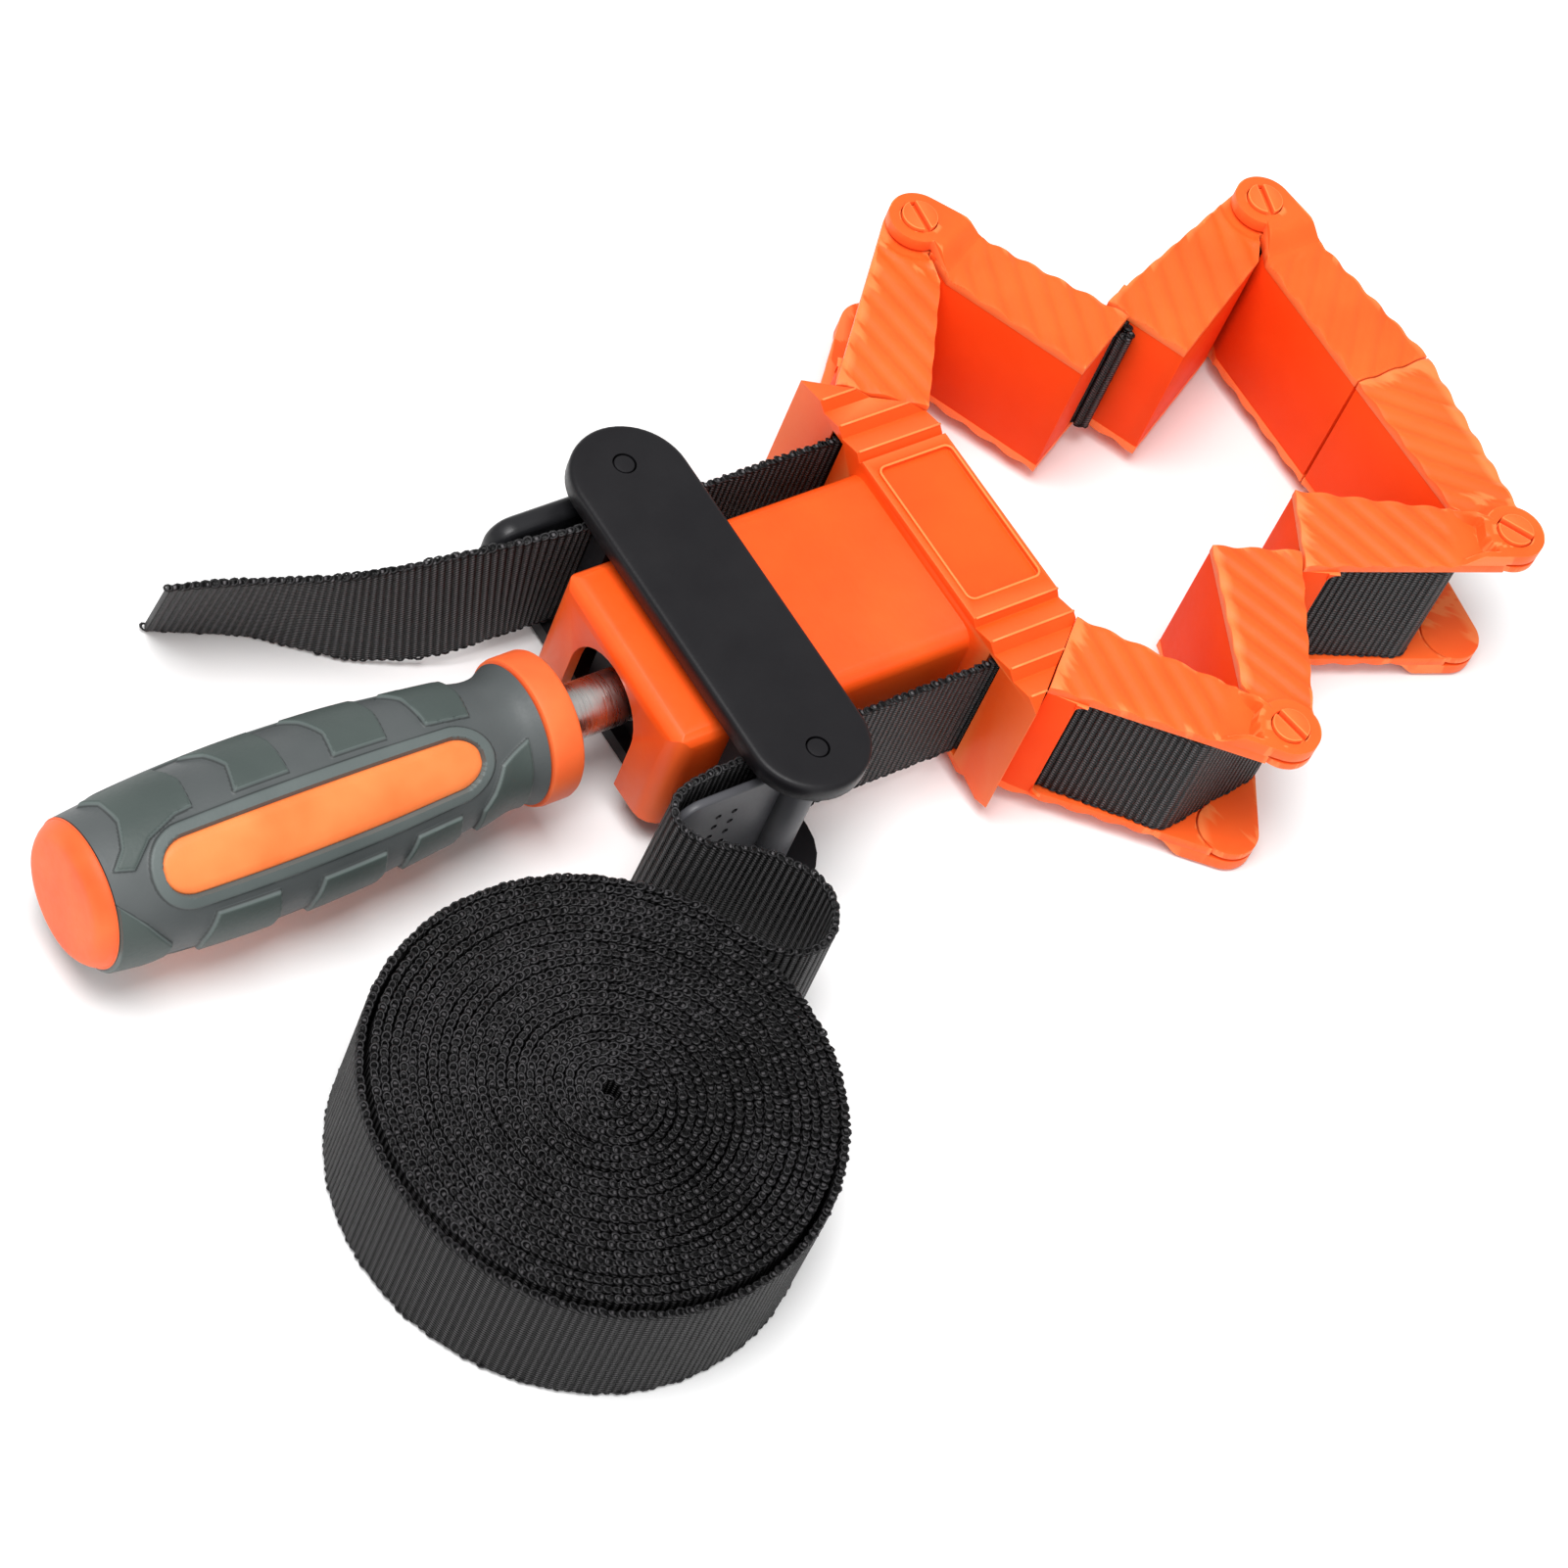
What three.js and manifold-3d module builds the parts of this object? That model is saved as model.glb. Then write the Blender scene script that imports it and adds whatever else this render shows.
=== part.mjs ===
import * as THREE from 'three';
import Module from 'manifold-3d';
import { ConvexGeometry } from 'three/addons/geometries/ConvexGeometry.js';
import { mergeVertices } from 'three/addons/utils/BufferGeometryUtils.js';

const wasm = await Module();
wasm.setup();

// Frame: origin on the table under the yoke, +X along the spindle to the head, +Z up.
// Heights are from the middle of the strap; mid_z lifts them to the table frame.
// Driving sizes: the webbing and the width of the channel body.
const strap_w = 25;
const strap_t = 1.3;
const body_half_y = 18.5;
const fit_gap = 0.3;
const run_fit = 0.08;

// Heights of the arms, their knuckles and pivot pins, from the strap width
const arm_half_h = strap_w / 2 + 2.2;
const arm_plate = 1.9;
const knuckle_z = [arm_half_h + 0.3, arm_half_h + 2.6];
const counterbore_z = arm_half_h + 1.4;
const pivot_head_z = [arm_half_h + 1.5, arm_half_h + 3.3];
const pivot_foot_z = arm_half_h - 1.6;
const pivot_slot_z = arm_half_h + 2.5;
const mid_z = pivot_head_z[1];

// Yoke and its nut
const yoke_half_x = 10.6;
const yoke_plate_out = mid_z;
const yoke_plate_in = mid_z - 3.6;
const yoke_edge_bevel = 0.8;
const anvil_in = body_half_y + 0.8;
const anvil_out = anvil_in + 4.15;
const anvil_half_x = 8;
const strap_y = anvil_out + 0.8;
const block_half_y = 13;
const block_top = 8;
const nut_half = 7.7;
const nut_half_len = 4.5;
const nut_chamfer = 1.6;
const nut_side_gap = 0.2;
const block_bore_r = 5.3;
const pin_y = strap_y + 5.55;
const pin_r = 1.8;
const pin_hole_r = 2.05;
const yoke_arc_y = pin_y - 2.7;

// Levers: a hub, a nose that presses the strap and a plate with a paddle
const hub_r = 3.1;
const lever_end_x = -23.8;
const lever_half_h = strap_w / 2 - 1.2;
const lever_corner_r = 4.5;
const lever_in_y = pin_y - 1.9;
const lever_tip = 1.2;
const lever_out_y = pin_y + 1.5;
const lever_root_y = [pin_y - 1.86, pin_y + 0.93];
const lever_skin = 2;
const nose_y = strap_y + 0.85;
const hub_steps = 20;
const nose_x = [-3.1, -2.33, -1.24, 0.31, 2.48];
const nose_rise = [4.7, 1.1, 0.85, 0.95, 4.31];
const paddle_out_y = pin_y + 2.4;
const paddle_x = -6.2;
const dimple_r = 0.7;
const dimple_depth = 0.4;
const dimple_x = [-11, -14, -17];
const dimple_z = [-2.6, 2.6];

// Housing: channel body and head in one moulding
const body_x0 = -17.2;
const body_end_wall = 2.2;
const body_wall = 2.2;
const body_top = 11.7;
const body_roof = 2.2;
const body_bottom = -12;
const body_corner_r = 4;
const body_edge_r = 3.2;
const arch_r = 9.3;
const arch_y = 0.5;
const arch_z = -1.2;
const head_x0 = 41;
const head_x1 = 58.3;
const head_back_y = strap_y + 12.15;
const head_front_y = strap_y - 1.25;
const head_half_h = strap_w / 2 + 2.4;
const spigot_r = 3;
const head_bore_r = spigot_r + run_fit;
const head_bore_end = 45.4;
const channel_w = 3;
const channel_half_h = strap_w / 2 + fit_gap;
const channel_bend_x = 42.4;
const channel_bend_r = 2.6;
const saw_deep = head_half_h - 1.5;
const saw_profile = [[-36.4, saw_deep], [-33.6, head_half_h], [-29.5, saw_deep], [-27.7, head_half_h],
  [-23.8, saw_deep], [-21.9, head_half_h], [-18, saw_deep], [-17, head_half_h], [17.4, head_half_h - 0.4],
  [17.8, saw_deep], [19.2, head_half_h], [23.2, saw_deep], [25, head_half_h], [29, saw_deep],
  [30.8, head_half_h], [36.4, saw_deep]];
const label_x = [42.7, 57.2];
const label_y = [-13.4, 14.9];
const label_z = head_half_h - 0.8;

// Screw
const spindle_r = 4.7;
const spindle_x0 = -70;
const shoulder_x = 37.8;
const spigot_x1 = 44.8;
const groove_x = [33.4, 35.2];
const groove_r = 3.6;
const keeper_x = [33.7, 34.9];
const keeper_half_y = body_half_y - 2.5;
const keeper_z = [-11.4, 9.2];
const keeper_slot_half = 3.68;
const washer_x = [38.1, 40.7];
const washer_r = 7;

// Handle
const handle_z = 0;
const handle_steps = 26;
const collar_x = [-34.9, -28.9];
const collar_r = 12.5;
const collar_edge = 1;
const core_r = 9.2;
const core_bore_r = spindle_r + fit_gap;
const butt_join_x = -113.5;
const butt_profile = [[-113.5, 12.4], [-114.4, 12.2], [-115.3, 11.6], [-116, 10.5], [-116.3, 8.8]];
const grip_profile = [[-113.2, 12.5], [-107, 13.1], [-97, 13.7], [-85, 14.1], [-67, 13.6], [-55, 12.5],
  [-46, 11.5], [-40.5, 10.5], [-37.6, 10.7], [-35.2, 11.8]];
const inlay_x = [-104.7, -46.8];
const inlay_half_w = 4.9;
const inlay_round_share = 0.999;
const inlay_depth = 0.25;
const inlay_angles = [5, 125, 245];

// Arm moulding, in its own plan: u from the pivot to the far end, v towards the work
const arm_len = 38.4;
const arm_in = 5.45;
const arm_out = -10.65;
const arm_mitre = [4.5, 2.49];
const arm_in_u = 10.5;
const arm_wall = 2;
const arm_wall_u = 7.4;
const arm_end_wall = 2.2;
const arm_slot_v = [-9.75, -6.2];
const arm_strip_u = 33.4;
const knuckle_r = 5.4;
const knuckle_clear_r = 5.75;
const ramp_u = [5.9, 10.5];
const counterbore_r = 3.4;
const pivot_shank_r = 1.9;
const pivot_head_r = 3.2;
const pivot_slot_half = 0.5;
const pivot_slot_deg = 35;
const rib_pitch = 4.5;
const rib_first = -14.2;
const rib_count = 8;
const rib_valley = 3.4;
const rib_floor = 0.6;
const rib_depth = 0.8;
const arm_strap_line = [[38.2, -8.6], [16, -6.7], [11.2, -6.2], [8.6, -2.7], [5.3, 3]];
const strap_bend_r = 1.6;
const lap_t = 1;
const lap_u = [24, 12];

// Arms: pivot, direction in degrees, inner side, and whether its knuckle lies over or under
const pivots = {
  a: [head_x0 + 37.3, head_back_y + 20.7],
  b: [head_x0 + 101.2, head_back_y + 2.2],
  c: [head_x0 + 101, -head_back_y - 2.2],
  d: [head_x0 + 37.5, -head_back_y - 20.2],
};
const arms = [
  ['left_head_arm', 'a', -128, 1, 'under'],
  ['left_middle_arm', 'a', -64.3, -1, 'over'],
  ['left_outer_arm', 'b', -153.9, 1, 'under'],
  ['left_end_arm', 'b', -90.2, -1, 'over'],
  ['right_end_arm', 'c', 89.9, 1, 'under'],
  ['right_outer_arm', 'c', 151, -1, 'over'],
  ['right_middle_arm', 'd', 65, 1, 'under'],
  ['right_head_arm', 'd', 128.8, -1, 'over'],
];

// Free strap: low and high edge points from the yoke outwards, y from the strap line
const tail_low = [[8.2, 0, -12.5], [0, 0, -12.5], [-6, 0.05, -12.5], [-12, 0.05, -12.6],
  [-20, 0.35, -12.9], [-28, 1.35, -14.4], [-35.6, 4.05, -16.1], [-43, 7.95, -17.1], [-49.6, 13.05, -17.4],
  [-56.1, 18.25, -17.6], [-63.6, 21.95, -17.7], [-71.2, 25.45, -17.7]];
const tail_high = [[8.2, 0, 12.5], [0, 0, 12.5], [-6, 0.05, 12.5], [-12, 0.25, 12.4],
  [-23.8, 1.95, 11.8], [-31.6, 4.15, 10], [-39.3, 6.15, 8.2], [-46.6, 7.95, 7.4], [-53.2, 10.15, 6.8],
  [-59.6, 12.75, 6.2], [-66.4, 15.15, 6], [-75.6, 17.95, 5.5]];
const loop_low = [[8.2, 0, -12.5], [0, 0, -12.5], [-8, -0.05, -12.5], [-16, -0.65, -12.7],
  [-22.3, -1.45, -12.9], [-25.6, -3.45, -13], [-26.4, -7.05, -13.1], [-24.4, -10.65, -13.4],
  [-19.5, -13.55, -13.8], [-14.6, -15.65, -14.3], [-10.8, -18.75, -14.8], [-8.2, -22.15, -15.3],
  [-7.3, -25.55, -15.8], [-8.2, -29.35, -16.3], [-11.2, -32.25, -16.8], [-14.8, -33.15, -17.2],
  [-18.3, -31.95, -17.5], [-21.3, -29.35, -17.8], [-23.6, -25.95, -18]];
const loop_high = [[8.2, 0, 12.5], [0, 0, 12.5], [-8, -0.05, 12.5], [-16, -0.65, 12.5],
  [-21.6, -1.55, 12.5], [-24.7, -3.85, 12.5], [-25.2, -7.35, 12.1], [-22.9, -10.95, 11.7],
  [-17.9, -13.85, 11.25], [-13.9, -16.05, 10.8], [-10.9, -19.25, 10.3], [-8.4, -22.35, 9.8],
  [-7.7, -25.65, 9.3], [-8.6, -29.25, 8.8], [-11.6, -32.25, 8.3], [-14.9, -33.05, 7.9],
  [-18.3, -31.95, 7.5], [-21.3, -29.35, 7.2], [-23.6, -25.95, 7]];
const coil_centre = [-58.5, -strap_y - 41.25];
const coil_r = 38.2;
const coil_pitch = 1.5;
const coil_band = 1;
const coil_turns = 24;
const coil_start_deg = 24.6;
const coil_z = [-mid_z, strap_w - mid_z];
const coil_steps = 24;

// Plan and profile helpers
const rad = (deg) => deg * Math.PI / 180;
const add = (a, b, k = 1) => [a[0] + b[0] * k, a[1] + b[1] * k];
const sub = (a, b) => [a[0] - b[0], a[1] - b[1]];
const norm = (a) => {
  const len = Math.hypot(a[0], a[1]);
  return [a[0] / len, a[1] / len];
};

function circle(cx, cy, r, steps = 32, from = 0, to = 360) {
  const whole = to - from >= 360;
  const count = whole ? steps : steps + 1;
  return Array.from({ length: count }, (_, i) => {
    const t = rad(from + (to - from) * i / steps);
    return [cx + r * Math.cos(t), cy + r * Math.sin(t)];
  });
}

function rounded(points, radii, steps = 4) {
  const out = [];
  points.forEach((p, i) => {
    const r = Array.isArray(radii) ? radii[i] : radii;
    if (!r) {
      out.push(p);
      return;
    }
    const a = norm(sub(points[(i + points.length - 1) % points.length], p));
    const b = norm(sub(points[(i + 1) % points.length], p));
    const half = Math.acos(a[0] * b[0] + a[1] * b[1]) / 2;
    const back = r / Math.tan(half);
    const mid = norm(add(a, b));
    const c = add(p, mid, r / Math.sin(half));
    const s = sub(add(p, a, back), c);
    const e = sub(add(p, b, back), c);
    const sweep = Math.atan2(s[0] * e[1] - s[1] * e[0], s[0] * e[0] + s[1] * e[1]);
    for (let k = 0; k <= steps; k += 1) {
      const t = sweep * k / steps;
      out.push([c[0] + s[0] * Math.cos(t) - s[1] * Math.sin(t), c[1] + s[0] * Math.sin(t) + s[1] * Math.cos(t)]);
    }
  });
  return out;
}

// Open line thickened by w, ends square
function ribbon(line, w) {
  const left = [];
  const right = [];
  line.forEach((p, i) => {
    const d0 = i > 0 ? norm(sub(p, line[i - 1])) : null;
    const d1 = i < line.length - 1 ? norm(sub(line[i + 1], p)) : null;
    const a = d0 || d1;
    const b = d1 || d0;
    const n = norm([-(a[1] + b[1]), a[0] + b[0]]);
    const k = w / 2 / (n[0] * -a[1] + n[1] * a[0]);
    left.push(add(p, n, k));
    right.push(add(p, n, -k));
  });
  return left.concat(right.reverse());
}

// Open line with rounded inner corners
function softened(line, r, steps = 4) {
  const out = [line[0]];
  for (let i = 1; i < line.length - 1; i += 1) {
    const a = norm(sub(line[i - 1], line[i]));
    const b = norm(sub(line[i + 1], line[i]));
    const half = Math.acos(Math.max(-1, a[0] * b[0] + a[1] * b[1])) / 2;
    const back = r / Math.tan(half);
    const c = add(line[i], norm(add(a, b)), r / Math.sin(half));
    const s = sub(add(line[i], a, back), c);
    const e = sub(add(line[i], b, back), c);
    const sweep = Math.atan2(s[0] * e[1] - s[1] * e[0], s[0] * e[0] + s[1] * e[1]);
    for (let k = 0; k <= steps; k += 1) {
      const t = sweep * k / steps;
      out.push([c[0] + s[0] * Math.cos(t) - s[1] * Math.sin(t), c[1] + s[0] * Math.sin(t) + s[1] * Math.cos(t)]);
    }
  }
  out.push(line[line.length - 1]);
  return out;
}

// Solids
function solid(geometry) {
  const g = geometry.clone();
  g.deleteAttribute('normal');
  g.deleteAttribute('uv');
  const merged = mergeVertices(g, 1e-5);
  const pos = merged.attributes.position.array;
  const idx = Array.from(merged.index.array);
  let volume = 0;
  for (let i = 0; i < idx.length; i += 3) {
    const [a, b, c] = [idx[i] * 3, idx[i + 1] * 3, idx[i + 2] * 3];
    volume += pos[a] * (pos[b + 1] * pos[c + 2] - pos[b + 2] * pos[c + 1])
      - pos[a + 1] * (pos[b] * pos[c + 2] - pos[b + 2] * pos[c])
      + pos[a + 2] * (pos[b] * pos[c + 1] - pos[b + 1] * pos[c]);
  }
  const tris = [];
  for (let i = 0; i < idx.length; i += 3) {
    const [a, b, c] = [idx[i], idx[i + 1], idx[i + 2]];
    if (a === b || b === c || a === c) continue;
    tris.push(...(volume < 0 ? [a, c, b] : [a, b, c]));
  }
  return new wasm.Manifold(new wasm.Mesh({
    numProp: 3,
    vertProperties: new Float32Array(pos),
    triVerts: new Uint32Array(tris),
  }));
}

const join = (...list) => list.reduce((a, b) => a.add(b));
const cut = (a, ...list) => list.reduce((s, b) => s.subtract(b), a);
const meet = (a, b) => a.intersect(b);

// Plan outline in (x, y) between two heights, then turned or moved
function slab(points, z0, z1, matrix = new THREE.Matrix4()) {
  const shape = new THREE.Shape(points.map((p) => new THREE.Vector2(p[0], p[1])));
  const g = new THREE.ExtrudeGeometry(shape, { depth: z1 - z0, bevelEnabled: false });
  g.translate(0, 0, z0);
  g.applyMatrix4(matrix);
  return solid(g);
}

// Convex solid round several plan outlines, each at its own height
function hull(...levels) {
  const points = levels.flatMap(([line, z]) => line.map((p) => new THREE.Vector3(p[0], p[1], z)));
  return solid(new ConvexGeometry(points));
}

// Profile in (y, z) between two x
function alongX(points, x0, x1) {
  const shape = new THREE.Shape(points.map((p) => new THREE.Vector2(p[0], p[1])));
  const g = new THREE.ExtrudeGeometry(shape, { depth: x1 - x0, bevelEnabled: false });
  g.translate(0, 0, x0);
  g.applyMatrix4(new THREE.Matrix4().set(0, 0, 1, 0, 1, 0, 0, 0, 0, 1, 0, 0, 0, 0, 0, 1));
  return solid(g);
}

// Profile in (x, z) between two y
function alongY(points, y0, y1) {
  const shape = new THREE.Shape(points.map((p) => new THREE.Vector2(p[1], p[0])));
  const g = new THREE.ExtrudeGeometry(shape, { depth: y1 - y0, bevelEnabled: false });
  g.translate(0, 0, y0);
  g.applyMatrix4(new THREE.Matrix4().set(0, 1, 0, 0, 0, 0, 1, 0, 1, 0, 0, 0, 0, 0, 0, 1));
  return solid(g);
}

const box = (x, y, z) => slab([[x[0], y[0]], [x[1], y[0]], [x[1], y[1]], [x[0], y[1]]], z[0], z[1]);
const rodZ = (c, r, z0, z1, steps = 32) => slab(circle(c[0], c[1], r, steps), z0, z1);
const rodX = (r, x0, x1, z = 0, steps = 32) => alongX(circle(0, z, r, steps), x0, x1);

// Turned body about the X axis from (x, r) points
function turned(points, steps, z = 0) {
  const profile = points.map((p) => new THREE.Vector2(Math.max(p[1], 0), p[0]));
  const g = new THREE.LatheGeometry(profile, steps);
  g.rotateZ(-Math.PI / 2);
  g.translate(0, 0, z);
  return solid(g);
}

// Flat band between two edge lines, thickness t across the line in plan
function band(low, high, t) {
  const half = t / 2;
  const at = [];
  low.forEach((p, i) => {
    const q = high[i];
    const before = low[Math.max(i - 1, 0)];
    const after = low[Math.min(i + 1, low.length - 1)];
    const hb = high[Math.max(i - 1, 0)];
    const ha = high[Math.min(i + 1, high.length - 1)];
    const along = new THREE.Vector3(after[0] - before[0] + ha[0] - hb[0], after[1] - before[1] + ha[1] - hb[1],
      after[2] - before[2] + ha[2] - hb[2]).normalize();
    const up = new THREE.Vector3(q[0] - p[0], q[1] - p[1], q[2] - p[2]).normalize();
    const n = new THREE.Vector3().crossVectors(up, along).normalize().multiplyScalar(half);
    at.push([p[0] - n.x, p[1] - n.y, p[2] - n.z], [p[0] + n.x, p[1] + n.y, p[2] + n.z],
      [q[0] + n.x, q[1] + n.y, q[2] + n.z], [q[0] - n.x, q[1] - n.y, q[2] - n.z]);
  });
  return ring(at, low.length);
}

// Square-section tube from four corner points per station, closed at both ends
function ring(at, stations) {
  const idx = [];
  for (let i = 0; i < stations - 1; i += 1) {
    for (let k = 0; k < 4; k += 1) {
      const a = i * 4 + k;
      const b = i * 4 + (k + 1) % 4;
      idx.push(a, b, b + 4, a, b + 4, a + 4);
    }
  }
  const e = (stations - 1) * 4;
  idx.push(0, 2, 1, 0, 3, 2, e, e + 1, e + 2, e, e + 2, e + 3);
  const g = new THREE.BufferGeometry();
  g.setAttribute('position', new THREE.Float32BufferAttribute(at.flat(), 3));
  g.setIndex(idx);
  return solid(g);
}

function smooth(points, count) {
  const curve = new THREE.CatmullRomCurve3(points.map((p) => new THREE.Vector3(...p)), false, 'centripetal');
  return Array.from({ length: count + 1 }, (_, i) => curve.getPoint(i / count).toArray());
}

// Output
const group = new THREE.Group();
group.name = 'ratchet_band_clamp';
group.position.z = mid_z;
const paint = {
  orange: [0xf2602c, 0.55, 0],
  dark: [0x4b4e50, 0.6, 0],
  steel: [0xa8abad, 0.35, 0.9],
  web: [0x1d1c1f, 0.9, 0],
};

function piece(name, part, look, at = [0, 0]) {
  const m = part.getMesh();
  const g = new THREE.BufferGeometry();
  g.setAttribute('position', new THREE.BufferAttribute(new Float32Array(m.vertProperties), 3));
  g.setIndex(Array.from(m.triVerts));
  const flat = g.toNonIndexed();
  flat.computeVertexNormals();
  const [color, roughness, metalness] = paint[look];
  const mesh = new THREE.Mesh(flat, new THREE.MeshStandardMaterial({ color, roughness, metalness }));
  mesh.name = name;
  mesh.position.set(at[0], at[1], 0);
  group.add(mesh);
}

// Housing
const bodyPlan = rounded([[body_x0, -body_half_y], [head_x0 + body_wall, -body_half_y],
  [head_x0 + body_wall, body_half_y], [body_x0, body_half_y]], [body_corner_r, 0, 0, body_corner_r]);
const bodySide = rounded([[-body_half_y, body_bottom], [body_half_y, body_bottom], [body_half_y, body_top],
  [-body_half_y, body_top]], [0, 0, body_edge_r, body_edge_r]);
const bodyEnd = rounded([[body_x0, body_bottom], [head_x0 + body_wall, body_bottom],
  [head_x0 + body_wall, body_top], [body_x0, body_top]], [0, 0, 0, body_edge_r]);
let housing = meet(meet(slab(bodyPlan, body_bottom, body_top), alongX(bodySide, body_x0, head_x0 + body_wall)),
  alongY(bodyEnd, -body_half_y, body_half_y));
const roomY = body_half_y - body_wall;
housing = cut(housing, box([body_x0 + body_end_wall, head_x0], [-roomY, roomY],
  [body_bottom - body_wall, body_top - body_roof]));
const archLine = circle(arch_y, arch_z, arch_r, 16, 0, 180);
archLine.push([arch_y - arch_r, body_bottom - body_wall], [arch_y + arch_r, body_bottom - body_wall]);
housing = cut(housing, alongX(archLine, body_x0 - body_wall, body_x0 + body_end_wall + body_wall));

const headPlan = [[head_x0, -head_back_y], [head_x1, -head_front_y], [head_x1, head_front_y], [head_x0, head_back_y]];
const sawLine = saw_profile.concat(saw_profile.map((p) => [p[0], -p[1]]).reverse());
let head = meet(slab(headPlan, -head_half_h, head_half_h), alongX(sawLine, head_x0, head_x1));
housing = join(housing, head);
const labelZ = [label_z, head_half_h + head_half_h];
housing = cut(housing, box(label_x, label_y, labelZ), rodX(head_bore_r, head_x0 - body_wall, head_bore_end, 0, 24));

// Strap channels through the head, from the back slots to the sloping faces
const headStraps = [];
for (const side of [1, -1]) {
  const [, hub, deg] = side > 0 ? arms[0] : arms[7];
  const dir = [Math.cos(rad(deg)), Math.sin(rad(deg))];
  const inner = [-dir[1] * side, dir[0] * side];
  const far = add(add(pivots[hub], dir, arm_len), inner, arm_strap_line[0][1]);
  const bend = [channel_bend_x, strap_y * side];
  const out = norm(sub(far, bend));
  const line = [[head_x0 - body_wall, strap_y * side], bend, add(far, out, arm_wall)];
  housing = cut(housing, slab(ribbon(softened(line, channel_bend_r), channel_w), -channel_half_h, channel_half_h));
  const strapLine = [[head_x0 - fit_gap, strap_y * side], bend, add(far, out, -fit_gap)];
  headStraps.push(slab(ribbon(softened(strapLine, channel_bend_r), strap_t), -strap_w / 2, strap_w / 2));
}
piece('housing', housing, 'orange');
piece('left_channel_strap', headStraps[0], 'web');
piece('right_channel_strap', headStraps[1], 'web');

// Screw
const spindle = turned([[spindle_x0, 0], [spindle_x0, spindle_r], [groove_x[0], spindle_r], [groove_x[0], groove_r],
  [groove_x[1], groove_r], [groove_x[1], spindle_r], [shoulder_x, spindle_r], [shoulder_x, spigot_r],
  [spigot_x1, spigot_r], [spigot_x1, 0]], 24);
piece('spindle', spindle, 'steel');
const keeperLine = [[-keeper_half_y, keeper_z[0]], [-keeper_slot_half, keeper_z[0]], [-keeper_slot_half, 0],
  ...circle(0, 0, keeper_slot_half, 12, 0, 180).reverse().slice(1, -1), [keeper_slot_half, 0],
  [keeper_slot_half, keeper_z[0]], [keeper_half_y, keeper_z[0]], [keeper_half_y, keeper_z[1]],
  [-keeper_half_y, keeper_z[1]]];
piece('keeper_plate', alongX(keeperLine, keeper_x[0], keeper_x[1]), 'steel');
piece('thrust_washer', cut(rodX(washer_r, washer_x[0], washer_x[1], 0, 24),
  rodX(spigot_r + run_fit, washer_x[0] - washer_r, washer_x[1] + washer_r, 0, 24)), 'steel');

// Handle: moulded core with collar, butt and inlays, and the soft grip over it
const coreOuter = [[butt_profile.at(-1)[0], 0], ...butt_profile.slice().reverse(), [butt_join_x, core_r],
  [collar_x[0], core_r], [collar_x[0], collar_r], [collar_x[1] - collar_edge, collar_r],
  [collar_x[1], collar_r - collar_edge], [collar_x[1], 0]];
let core = turned(coreOuter, handle_steps, handle_z);
const windowLine = (grow) => {
  const hw = inlay_half_w + grow;
  return rounded([[inlay_x[0] - grow, -hw], [inlay_x[1] + grow, -hw], [inlay_x[1] + grow, hw],
    [inlay_x[0] - grow, hw]], hw * inlay_round_share, 3);
};
const gripOuter = [[grip_profile[0][0], 0], ...grip_profile, [grip_profile.at(-1)[0], 0]];
const inlayOuter = gripOuter.map((p) => [p[0], Math.max(p[1] - inlay_depth, 0)]);
const inlaySkin = turned(inlayOuter, handle_steps, handle_z);
const gripInner = core_r + fit_gap;
let grip = cut(turned(gripOuter, handle_steps, handle_z),
  rodX(gripInner, butt_profile.at(-1)[0], collar_x[1], handle_z, handle_steps));
const inlayRoom = collar_r * 2;
for (const deg of inlay_angles) {
  const turn = new THREE.Matrix4().makeRotationX(rad(deg - 90));
  core = join(core, meet(inlaySkin, slab(windowLine(0), core_r / 2, inlayRoom, turn)));
  grip = cut(grip, slab(windowLine(fit_gap), core_r / 2, inlayRoom, turn));
}
core = cut(core, rodX(core_bore_r, spindle_x0 - fit_gap, collar_x[1] + core_r, handle_z, 24));
piece('handle_core', core, 'orange');
piece('handle_grip', grip, 'dark');

// Yoke
const stadium = (r) => circle(0, yoke_arc_y, r, 12, 0, 180).concat(circle(0, -yoke_arc_y, r, 12, 180, 360));
const pinHoles = [1, -1].map((s) => rodZ([0, pin_y * s], pin_hole_r, -mid_z - mid_z, mid_z + mid_z, 20));
const edge = yoke_half_x - yoke_edge_bevel;
const rim = stadium(yoke_half_x);
const yokePlate = (inside, outside) => {
  const shoulder = outside - yoke_edge_bevel * Math.sign(outside);
  return hull([rim, inside], [rim, shoulder], [stadium(edge), outside]);
};
piece('yoke_top_plate', cut(yokePlate(yoke_plate_in, yoke_plate_out), ...pinHoles), 'dark');
let yoke = yokePlate(-yoke_plate_in, -yoke_plate_out);
const wallTop = yoke_plate_in - fit_gap;
for (const s of [1, -1]) {
  const y = [anvil_in * s, anvil_out * s].sort((a, b) => a - b);
  yoke = join(yoke, box([-anvil_half_x, anvil_half_x], y, [-yoke_plate_in - yoke_edge_bevel, wallTop]));
}
let block = box([-anvil_half_x, anvil_half_x], [-block_half_y, block_half_y], [-yoke_plate_in - yoke_edge_bevel, block_top]);
const pocketX = nut_half_len + fit_gap;
const pocketY = nut_half + nut_side_gap;
block = cut(block, box([-pocketX, pocketX], [-pocketY, pocketY], [-pocketY, block_top + block_top]),
  rodX(block_bore_r, -yoke_half_x, yoke_half_x, 0, 24));
yoke = cut(join(yoke, block), ...pinHoles);
piece('yoke_frame', yoke, 'dark');
const nutLine = rounded([[-nut_half, -nut_half], [nut_half, -nut_half], [nut_half, nut_half], [-nut_half, nut_half]],
  nut_chamfer, 1);
piece('spindle_nut', cut(alongX(nutLine, -nut_half_len, nut_half_len),
  rodX(spindle_r + run_fit, -yoke_half_x, yoke_half_x, 0, 24)), 'steel');
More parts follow.
